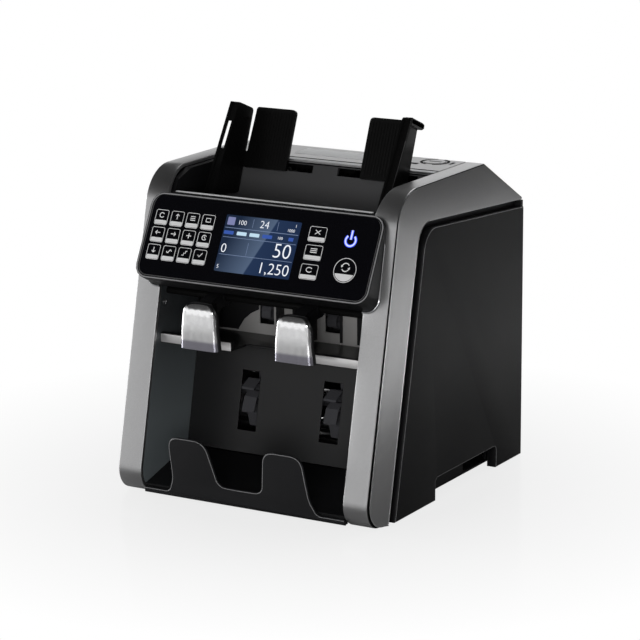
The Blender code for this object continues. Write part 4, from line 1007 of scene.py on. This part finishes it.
def icon_paths():
    """Generic key signs as lines in a square from -1 to 1."""
    ring = arc((0, 0), 0.9, 30, 300, 24)
    arrow = [[[0, -1], [0, 0], [0, 1]], [[-0.7, 0.3], [0, 1], [0.7, 0.3]]]

    def turned(paths, quarter):
        cos, sin = math.cos(quarter * QUARTER), math.sin(quarter * QUARTER)
        return [np.asarray(p) @ np.array([[cos, sin], [-sin, cos]]) for p in paths]

    square = [[-0.9, -0.7], [0.9, -0.7], [0.9, 0.7], [-0.9, 0.7], [-0.9, -0.75]]
    bars = [[[-1, y], [0, y], [1, y]] for y in (-0.7, 0.0, 0.7)]
    cross = [[[-0.8, -0.8], [0, 0], [0.8, 0.8]], [[-0.8, 0.8], [0, 0], [0.8, -0.8]]]
    plus = [[[-1, 0], [0, 0], [1, 0]], [[0, -1], [0, 0], [0, 1]]]
    tick = [[[-0.9, 0.0], [-0.3, -0.7], [0.9, 0.8]]]
    wave = [np.stack([np.linspace(-1, 1, 20), 0.6 * np.sin(np.linspace(-math.pi, math.pi, 20))], axis=1)]
    dial = [ring, [[0, 0.5], [0, 0], [0.5, -0.2]]]
    steps = [[[-1, -0.8], [-0.3, -0.8], [-0.3, 0], [0.4, 0], [0.4, 0.8], [1, 0.8]]]
    return [[ring], arrow, bars, [square], turned(arrow, 1), turned(arrow, 3), plus, dial,
            turned(arrow, 2), wave, steps, tick, cross]


def key_marks(centre, half, icon, line=0.42):
    """A printed key: thin frame, a filled bar in its lower third, and a sign above the bar."""
    u, v = centre
    wide, tall = half
    frame_line = box_outline((u - wide, u + wide), (v - tall, v + tall), 1.6, 5)
    bar = box_outline((u - wide + 0.7, u + wide - 0.7), (v - tall + 0.7, v - tall * 0.38), 0.7, 4)
    marks = [printed_ring(frame_line, line), printed(bar)]
    size = np.array([ICON_HALF * wide / ICON_KEY, ICON_HALF * 0.9 * tall / ICON_KEY])
    middle = np.array([u, v + tall * 0.28])
    return marks + [printed(stroke(np.asarray(path) * size + middle, ICON_LINE)) for path in icon]


def bead_shape(way, share):
    """A share of the round bead where the housing meets a pillar: thick at its lower corner, then thin.

    It follows the housing's outline, sunk along the panel's normal to the leaning plane of the pillars.
    """
    reach = GLASS_HALF + RIM + BEAD_GAP
    radius = GLASS_CORNER_R + RIM
    corner = arc((reach - radius, radius - RIM - BEAD_GAP), radius, -90, 90, 16)
    upright = np.stack([np.full(9, reach), np.linspace(radius, BEAD_TOP, 9)], axis=1)
    line = np.concatenate([[[PILLAR_INNER_X, -RIM - BEAD_GAP]], corner, upright])[share]
    u, v = line[:, 0] * way, line[:, 1]
    sin, cos = math.sin(PANEL_TILT), math.cos(PANEL_TILT)
    depth = PANEL_Y + v * sin - LEAN * (PANEL_Z + v * cos)
    centre = on_panel(u, v, depth / (cos + LEAN * sin))
    along = np.gradient(centre, axis=0)
    along = along / np.linalg.norm(along, axis=1, keepdims=True)
    out = np.array([0.0, -math.cos(FRONT_LEAN), math.sin(FRONT_LEAN)])
    side = np.cross(along, out)
    turn = np.arange(BEAD_SIDES)[None, :, None] * FULL / BEAD_SIDES
    thick = np.interp(v, BEAD_FADE, (BEAD_R, BEAD_THIN))[:, None, None]
    around = np.cos(turn) * side[:, None] + np.sin(turn) * out
    return loft(centre[:, None] + BEAD_LIFT * out + thick * around)


def dress_panel():
    """Housing, rim lines and beads, glass, printed keys and the lit display. The rim lines and side beads are
    grey paint standing for highlights along the housing's edges; the corner beads are bright metal.
    """
    half = GLASS_HALF + RIM
    outer = box_outline((-half, half), (-RIM, GLASS_HEIGHT + RIM * 0.7), GLASS_CORNER_R + RIM, 10)
    eased("panel_housing", BLACK, 0.7)
    glass = box_outline((-GLASS_HALF, GLASS_HALF), (0.0, GLASS_HEIGHT), GLASS_CORNER_R, 10)
    window = box_outline((-SCREEN_HALF, SCREEN_HALF), (SCREEN_LOW, SCREEN_HIGH), 1.0, 10)
    piece("panel_glass", [hoop(glass, window, -1.4, GLASS_FACE, on_panel)], GLOSS,
          stands_for=("panel_overlay",))
    for name, depth, width, finish in PANEL_RIMS:
        line = inset(outer, depth)
        rim = hoop(line, inset(line, width), -0.2, 0.14, on_panel)
        piece(f"panel_{name}_rim", [rim], finish)
    # The corner beads are bright metal; the side beads are pale grey paint standing for a highlight.
    for name, share, finish in (("corner", BEAD_CORNER, BRIGHT), ("side", BEAD_SIDE, HIGHLIGHT_GREY)):
        piece(f"panel_{name}_bead", [bead_shape(way, share) for way in (1.0, -1.0)], finish)

    icons = icon_paths()
    marks = []
    for number, (v, u) in enumerate((v, u) for v in KEY_ROWS for u in KEY_COLUMNS):
        marks += key_marks((u, v), KEY_HALF, icons[number])
    for v, sign in zip(SIDE_KEY_ROWS, SIDE_KEY_SIGNS):
        marks += key_marks((SIDE_KEY_U, v), SIDE_KEY_HALF, icons[sign])
    ring = arc(BIG_KEY_AT, BIG_KEY_R, 0.0, 360.0 * 63 / 64, 64)
    marks.append(printed_ring(ring, BIG_KEY_LINE))
    marks.append(printed(arc(BIG_KEY_AT, BIG_KEY_FILL_R, 200.0, 140.0, 24)))
    sign_at = (BIG_KEY_AT[0], BIG_KEY_AT[1] + BIG_KEY_SIGN_UP)
    for start in (30.0, 210.0):
        sweep_line = arc(sign_at, BIG_KEY_SIGN_R, start, 130.0, 16)
        marks.append(printed(stroke(sweep_line, BIG_KEY_SIGN_LINE)))
        tip = sweep_line[-1]
        way = sweep_line[-1] - sweep_line[-2]
        way = way / np.linalg.norm(way)
        across = np.array([-way[1], way[0]])
        head = np.stack([tip + way * ARROW_LONG, tip + across * ARROW_HALF, tip - across * ARROW_HALF])
        marks.append(printed(head))
    piece("key_prints", marks, PRINT)

    bar = [[POWER_AT[0], POWER_AT[1] + up] for up in POWER_BAR]
    sign = (arc(POWER_AT, POWER_R, 130.0, 280.0, 40), bar)
    piece("power_sign", [printed(stroke(line, POWER_LINE)) for line in sign], BLUE)
    core_face = GLASS_FACE + PRINT_LIFT + CORE_LIFT
    core = [slab(stroke(line, POWER_CORE), GLASS_FACE, core_face, 0.0, on_panel) for line in sign]
    piece("power_sign_core", core, CORE)

    ground = box_outline((-SCREEN_HALF + SCREEN_GAP, SCREEN_HALF - SCREEN_GAP),
                         (SCREEN_LOW + SCREEN_GAP, SCREEN_HIGH - SCREEN_GAP), 1.0, 3)
    piece("display_face", [slab(ground, -SCREEN_DEPTH, 0.1, 0.1, on_panel, 1)], SCREEN,
          stands_for=("display_module",))
    dress_display()


PILL_LEFTS = (-34.6, -22.2, -10.0, 2.2)
PILL_WIDE = 9.2
PILL_SHORT = (27.0, 31.5)
PILL_ROW = (41.6, 44.6)
LINE_ACROSS = (-34.5, 35.0)
LINE_ROWS = (((47.0, 47.5), 0.2), ((39.0, 39.4), 0.15), ((24.2, 24.6), 0.15))
LINE_COLUMNS = (((-9.2, -8.9), (25.5, 36.0)), ((-9.2, -8.9), (49.0, 56.5)), ((14.4, 14.7), (49.0, 56.5)))
CHIP_BOX = ((-33.5, -26.5), (49.6, 56.3))

# Text, letter height, left end and foot
DIGITS = (("0", 11.0, -34.0, 26.0), ("50", 17.5, 15.0, 26.6), ("1,250", 13.5, 4.5, 12.2),
          ("100", 5.6, -23.5, 50.6), ("24", 9.0, -2.5, 49.8), ("1", 3.6, 30.5, 53.4),
          ("1000", 3.6, 24.0, 49.2), ("100", 3.4, 16.5, 42.0), ("5", 4.6, -34.0, 12.4))


def patch(u, v, radius=0.5):
    """A flat mark on the display."""
    return slab(box_outline(u, v, radius, 4), 0.05, GLASS_FACE, 0.0, on_panel)


def dress_display():
    """Marks on the display: a header, a row of pills, thin dividing lines and plain digits."""
    pills = [(left, left + PILL_WIDE) for left in PILL_LEFTS]
    dividers = [patch(LINE_ACROSS, v, radius) for v, radius in LINE_ROWS]
    dividers += [patch(u, v, 0.1) for u, v in LINE_COLUMNS]
    piece("display_dividers", dividers, TAB)
    blue = [patch(u, PILL_ROW) for u in (pills[0], pills[3], PILL_SHORT)]
    piece("display_blue_pills", blue, PILL_BLUE)
    piece("display_pale_pills", [patch(u, PILL_ROW) for u in pills[1:3]], PILL)
    piece("display_chip", [patch(*CHIP_BOX)], CHIP)
    piece("display_digits", [written(*digit) for digit in DIGITS], DIGIT)


# Hopper


def wing_ribs():
    """Upright ribs inside a wing: strips parallel to its rear edge, ending short of the leaning front."""
    rear, front, top = (np.array(corner) for corner in (WING_REAR_LOW, WING_FRONT_LOW, WING_FRONT_HIGH))
    up = np.array([math.sin(WALL_TILT), math.cos(WALL_TILT)])
    slant = top - front
    ribs = []
    for share in np.linspace(*WING_RIB_SPAN, WING_RIBS):
        foot = rear + (front - rear) * share + up * WING_RIB_GAP
        gap = front - foot
        reach = (gap[0] * slant[1] - gap[1] * slant[0]) / (up[0] * slant[1] - up[1] * slant[0])
        tip = foot + up * min(reach - 2 * WING_RIB_GAP, WING_RIB_LONGEST)
        line = stroke(np.linspace(foot, tip, 3), WING_RIB)
        ribs.append(slab(line, GUIDE_WING_X - WING_RIB_RISE, GUIDE_WING_X + 0.1, 0.0, side_view))
    return ribs


def plate_ribs():
    """Upright ribs on the front of a guide's back plate."""
    lefts = np.linspace(*PLATE_RIB_X, PLATE_RIBS)
    outlines = [box_outline((x, x + WING_RIB), PLATE_RIB_UP, 0.3, 3) for x in lefts]
    root, face = PLATE_FACE - 0.1, PLATE_FACE + WING_RIB_RISE
    return [slab(outline, root, face, 0.1, on_wall, 1) for outline in outlines]


def guide_webs(shares):
    """What joins a guide's outer strip to its wing: a round cap, and webs along shares of the front edge."""
    cap = np.concatenate([arc(CAP_FRONT, CAP_R, 68, 180, 10), arc(CAP_REAR, CAP_R, 248, 180, 10)])
    shapes = [slab(cap, GUIDE_WING_X + WEB_ROOT, GUIDE_OUTER_X - CAP_INSET, CAP_ROUND, side_view, 4)]
    low, high = np.array(WING_FRONT_LOW), np.array(WING_FRONT_HIGH)
    for first, last in shares:
        start, end = low + (high - low) * first, low + (high - low) * last
        near, far = np.array([WEB_START, 0.0]), np.array([WEB_DEPTH, 0.0])
        web = np.array([start + near, end + near, end + far, start + far])
        shapes.append(slab(web, GUIDE_WING_X + WEB_ROOT, GUIDE_OUTER_X - WEB_ROOT, 0.0, side_view))
    return shapes


def dress_hopper():
    """Floor, rear wall and the two sliding guides."""
    eased("hopper_tray", BLACK, 0.5)
    recoat(WALL_BLACK, "hopper_rear_wall")
    edge_outline = box_outline(FLOOR_EDGE_Y, FLOOR_EDGE_Z, 0.6, 4)
    edge = slab(edge_outline, -FLOOR_EDGE_HALF, FLOOR_EDGE_HALF, 0.4, side_view, 2)
    piece("hopper_floor_edge", [edge], LABEL)
    ribs = wing_ribs() + plate_ribs()
    # A thin grey line along each guide's front edge: painted highlight.
    front_line = np.linspace(WING_FRONT_LOW, WING_FRONT_HIGH, 5)[:-1] + (GUIDE_LINE_IN, 0.0)
    line_x = (GUIDE_OUTER_X - WEB_ROOT, GUIDE_OUTER_X + GUIDE_LINE_RISE)
    edge_line = slab(stroke(front_line, GUIDE_LINE), *line_x, 0.0, side_view)
    for side, flip in (("right", lambda s: s), ("left", flipped)):
        eased(f"{side}_note_guide", WING, 0.5)
        fitted = ribs + guide_webs(WEB_SHARES[side])
        piece(f"{side}_guide_ribs", [flip(s) for s in fitted], WING, f"{side}_guide")
        piece(f"{side}_guide_edge_highlight", [flip(edge_line)], DIM_HIGHLIGHT, f"{side}_guide")


# Pockets


def flap_shape(centre, grow=0.0, sink=0.0, flute=FLAP_FLUTE):
    """A stopper flap on a grid: a bowed section with shallow flutes, its upper corners quarter circles.

    Across the flap the front goes back with the tenth power of the distance from the middle, and the flutes
    follow a cosine. Towards the ends the rim sinks by the height of a circle of the corner's radius, over a
    gentle square-law arch, and the flap narrows in step with the height.
    Its dark backing is the same form, grown at the sides and the top, sunk to the rear and without flutes.
    """
    across = np.linspace(-1.0, 1.0, FLAP_COLUMNS)[:, None]
    half = FLAP_HALF + grow
    side = np.clip((np.abs(across) * half - (half - FLAP_CORNER_R)) / FLAP_CORNER_R, 0.0, 1.0)
    rim = FLAP_HIGH + grow - FLAP_CORNER_R * (1 - np.sqrt(1 - side ** 2)) - FLAP_ARCH * across ** 2
    z = FLAP_LOW + (rim - FLAP_LOW) * np.array(FLAP_ROWS)[None, :]
    x = centre + half * across * (1 - FLAP_TAPER * (z - FLAP_LOW) / (FLAP_HIGH - FLAP_LOW))
    y = np.interp(z, FLAP_PROFILE_Z, FLAP_PROFILE_Y) + sink
    flute = flute * (0.5 + 0.5 * np.cos(across * math.pi * FLAP_FLUTES))
    fade = np.clip((z - FLAP_LOW - FLUTE_START) / FLUTE_RUN, 0.0, 1.0)
    fade = fade * np.clip((rim - FLUTE_END - z) / FLUTE_FADE, 0.0, 1.0)
    back = y + FLAP_THICK
    front = np.minimum(y + flute * fade + FLAP_BOW * np.abs(across) ** FLAP_BOW_POWER, back - FLAP_THIN)
    z_back = z - FLAP_TOP_LAP * (z > FLAP_TOP_Z)
    return loft(np.stack([np.hstack([x, x[:, ::-1]]), np.hstack([front, back[:, ::-1]]),
                          np.hstack([z, z_back[:, ::-1]])], axis=-1))


# Right half of the gate's outline, and how far each corner is rounded
GATE_HALF = [(96.9, 0.0), (96.9, 5.0), (71.5, 5.0), (66.0, 17.5),
             (64.0, 56.5), (28.0, 56.5), (20.5, 16.8), (0.0, 16.5)]
GATE_REACH = [0.4, 1.5, 4.0, 5.0, 11.0, 11.0, 7.0, 0.4]


def gate_outline():
    """The gate from the front: low lips, two round humps, a dip between them."""
    mirror = [(-x, z) for x, z in reversed(GATE_HALF[:-1])]
    return softened(GATE_HALF + mirror, GATE_REACH + GATE_REACH[-2::-1], 9)


def dress_pockets():
    """Gate, stoppers, liners, shelf and the walls of both pockets."""
    skin = slab(gate_outline(), -GATE_THICK, 0.0, GATE_ROUND, on_gate, 5)
    piece("gate_skin", [skin], GATE, stands_for=("stacker_gate",))
    # A thin grey line inside the gate's outline: painted highlight along its edge.
    shine = inset(anticlockwise(gate_outline()), GATE_LINE_IN)[GATE_CORNER_POINTS:-GATE_CORNER_POINTS]
    piece("gate_edge_highlight", [slab(stroke(shine, GATE_LINE), -0.3, 0.06, 0.0, on_gate)], HIGHLIGHT_GREY)
    for side, way in (("right", 1.0), ("left", -1.0)):
        piece(f"{side}_flap_skin", [flap_shape(FLAP_X * way)], FLAP, f"{side}_stopper",
              (f"{side}_stopper",))
        backing = flap_shape(FLAP_X * way, FLAP_BACKING_GROW, FLAP_BACKING_SINK, 0.0)
        piece(f"{side}_flap_backing", [backing], MOULDED, f"{side}_stopper")
        eased(f"{side}_stopper_arm", MOULDED, 0.5)
        eased(f"{side}_pocket_liner", LINER, 0.4)
    eased("reject_shelf", MOULDED, 0.5)
    bar_outline = box_outline((SHELF_CUT_X + 0.4, PILLAR_INNER_X - 0.5), SHELF_BAR_Z, 0.8, 4)
    bar = slab(bar_outline, SHELF_BAR_Y, SHELF_BAR_Y + SHELF_BAR_DEPTH, 0.4, front_view, 2)
    piece("shelf_bars", [bar, flipped(bar)], RAIL)
    eased("reject_wall", SHEET, 0.3)
    # Black sheets on the reject wall, partly dark parts behind the flaps and partly painted shade under the
    # roof: the box between the flaps, above 152 mm, is painted shade.
    masks = [np.array([(-MASK_HALF, MASK_LOW), *MASK_BOW, (-MASK_HALF, MASK_HIGH)])]
    boxes = [MASK_ROOF_SHADE] + [(x, (MASK_LOW, MASK_HIGH)) for x in MASK_RIGHT_X]
    masks += [box_outline(x, z, 0.3, 2) for x, z in boxes]
    mask_slabs = [slab(mask, *MASK_Y, 0.0, front_view) for mask in masks]
    piece("reject_wall_dark_parts_and_shade", mask_slabs, BLACK)
    eased("reject_roof", BLACK, 0.4)
    eased("stacker_floor", BLACK, 0.3)
    eased("stacker_wall", MOULDED, 0.3)
    head = screw_head(LINER_SCREW_AT, LINER_SCREW_R, lambda a, b, w: side_view(a, b, PILLAR_INNER_X - w), 0.0)
    piece("liner_screws", [head, flipped(head)], STEEL)


# Inside


def dress_inside():
    """Rollers, frames, motor, boards and belts keep their solids and get their own finishes."""
    recoat(RUBBER, "pickup_rollers", "feed_rollers", "upper_transport_rollers", "lower_transport_rollers",
           "lower_belt", "upper_belt", "reject_belt")
    recoat(GREY_RUBBER, "retard_rollers", "upper_pinch_rollers", "lower_pinch_rollers", "reject_wheels",
           "stacker_wheels")
    recoat(STEEL, "left_side_frame", "right_side_frame", "upper_tie_bar", "lower_tie_bar", "drive_motor",
           "motor_shaft", "diverter_solenoid", "power_supply", "door_hinge_pin")
    recoat(BOARD, "control_board", "main_board")
    recoat(MATTE_BLACK_AND_SHADE, "stopper_rod")
    recoat(MOULDED, "guide_pinion", "front_sensor_bar", "rear_sensor_bar", "diverter_flap")


# Stage


FLOOR_GLOSS = 0.12
FLOOR_GLOW = 0.8
FLOOR_FADE = (0.15, 0.42)
SKY_FALL = (0.24, 0.42)
SKY_LOW = 1.0
SKY_TOP = 0.02
SKY_TURN = (-0.2, 0.4)
SKY_DARK = 0.04
SKY_FILL = 0.12
FLOOR_HALF = 4.0
CAMERA_AT = (1.20094, -2.04819, 0.71611)
CAMERA_TURNS = (30.33, 13.73, -0.34)
CAMERA_LENS = 162.0
CAMERA_SENSOR = 36.0

# Name, place, target, width and height, watts
LAMPS = (("left_light", (-1.8, -0.35, 0.35), (0.0, 0.0, 0.14), (0.8, 0.6), 18.0),
         ("front_light", (0.7, -1.9, 0.5), (0.0, 0.0, 0.14), (1.0, 0.5), 10.0),
         ("top_light", (0.2, 1.0, 1.5), (0.0, 0.0, 0.2), (1.2, 0.8), 9.0),
         ("floor_light", (0.55, 0.3, 0.4), (0.95, 0.65, 0.0), (0.4, 0.4), 7.0))


def set_camera():
    """A long lens in front of the machine's right corner, a little above it."""
    yaw, dip, roll = (math.radians(turn) for turn in CAMERA_TURNS)
    ahead = Vector((-math.sin(yaw) * math.cos(dip), math.cos(yaw) * math.cos(dip), -math.sin(dip)))
    right = Vector((math.cos(yaw), math.sin(yaw), 0.0))
    up = right.cross(ahead)
    across = right * math.cos(roll) + up * math.sin(roll)
    upward = up * math.cos(roll) - right * math.sin(roll)
    lens = bpy.data.cameras.new("camera")
    lens.lens = CAMERA_LENS
    lens.sensor_width = CAMERA_SENSOR
    camera = bpy.data.objects.new("camera", lens)
    turn = Matrix((across, upward, -ahead)).transposed().to_4x4()
    camera.matrix_world = Matrix.Translation(CAMERA_AT) @ turn
    bpy.context.collection.objects.link(camera)
    bpy.context.scene.camera = camera


def set_stage():
    """A pale floor that keeps a soft shadow and a faint reflection, and a surround the camera sees white.

    Reflections show the surround white near the horizon, and darker overhead and towards the right.
    """
    floor = Finish("floor", (0.6, 0.6, 0.6), FLOOR_GLOSS)
    seen = floor.node("ShaderNodeLightPath", {}, {}, "Is Camera Ray")
    away = floor.node("ShaderNodeVectorMath", {"operation": "LENGTH"}, {0: floor.spot()}, "Value")
    glow = floor.ramp(away, *FLOOR_FADE, FLOOR_GLOW, 1.0)
    white = floor.node("ShaderNodeEmission", {}, {"Color": (1.0, 1.0, 1.0, 1.0), "Strength": 1.0})
    lit_floor = Flow(floor, floor.shader.outputs[0])
    both = floor.node("ShaderNodeMixShader", {}, {0: seen * glow, 1: lit_floor, 2: white})
    floor.tree.links.new(both.socket, floor.tree.nodes["Material Output"].inputs[0])
    mesh = bpy.data.meshes.new("floor")
    corners = [(x * FLOOR_HALF, y * FLOOR_HALF, 0.0) for x, y in ((-1, -1), (1, -1), (1, 1), (-1, 1))]
    mesh.from_pydata(corners, [], [(0, 1, 2, 3)])
    mesh.materials.append(floor.material)
    ground = bpy.data.objects.new("floor", mesh)
    bpy.context.collection.objects.link(ground)

    world = bpy.data.worlds.new("studio")
    bpy.context.scene.world = world
    world.use_nodes = True
    sky = Nodes(world.node_tree)
    way = sky.node("ShaderNodeTexCoord", {}, {}, "Generated")
    across = sky.node("ShaderNodeSeparateXYZ", {}, {0: way}, "X")
    height = sky.node("ShaderNodeSeparateXYZ", {}, {0: way}, "Z")
    rays = {kind: sky.node("ShaderNodeLightPath", {}, {}, kind)
            for kind in ("Is Camera Ray", "Is Transmission Ray", "Is Glossy Ray")}
    plain = rays["Is Camera Ray"] + rays["Is Transmission Ray"]
    shade = sky.ramp(height, *SKY_FALL, SKY_LOW, SKY_TOP) * sky.ramp(across, *SKY_TURN, 1.0, SKY_DARK)
    mirrored = rays["Is Glossy Ray"] * shade
    fill = (1 - plain - rays["Is Glossy Ray"]) * SKY_FILL
    strength = sky.node("ShaderNodeMath", {"operation": "MAXIMUM"}, {0: plain + mirrored, 1: fill})
    back = world.node_tree.nodes["Background"]
    back.inputs["Color"].default_value = (1.0, 1.0, 1.0, 1.0)
    world.node_tree.links.new(strength.socket, back.inputs["Strength"])


def add_lamp(name, place, target, size, power):
    """A soft box that faces a point."""
    lamp = bpy.data.lights.new(name, "AREA")
    lamp.shape = "RECTANGLE"
    lamp.size, lamp.size_y = size
    lamp.energy = power
    made = bpy.data.objects.new(name, lamp)
    made.location = place
    made.rotation_euler = (Vector(target) - Vector(place)).to_track_quat("-Z", "Y").to_euler()
    bpy.context.collection.objects.link(made)


bpy.context.scene.view_settings.view_transform = "Standard"
set_camera()
set_stage()
for setting in LAMPS:
    add_lamp(*setting)
dress_case()
dress_rear()
dress_panel()
dress_hopper()
dress_pockets()
dress_inside()
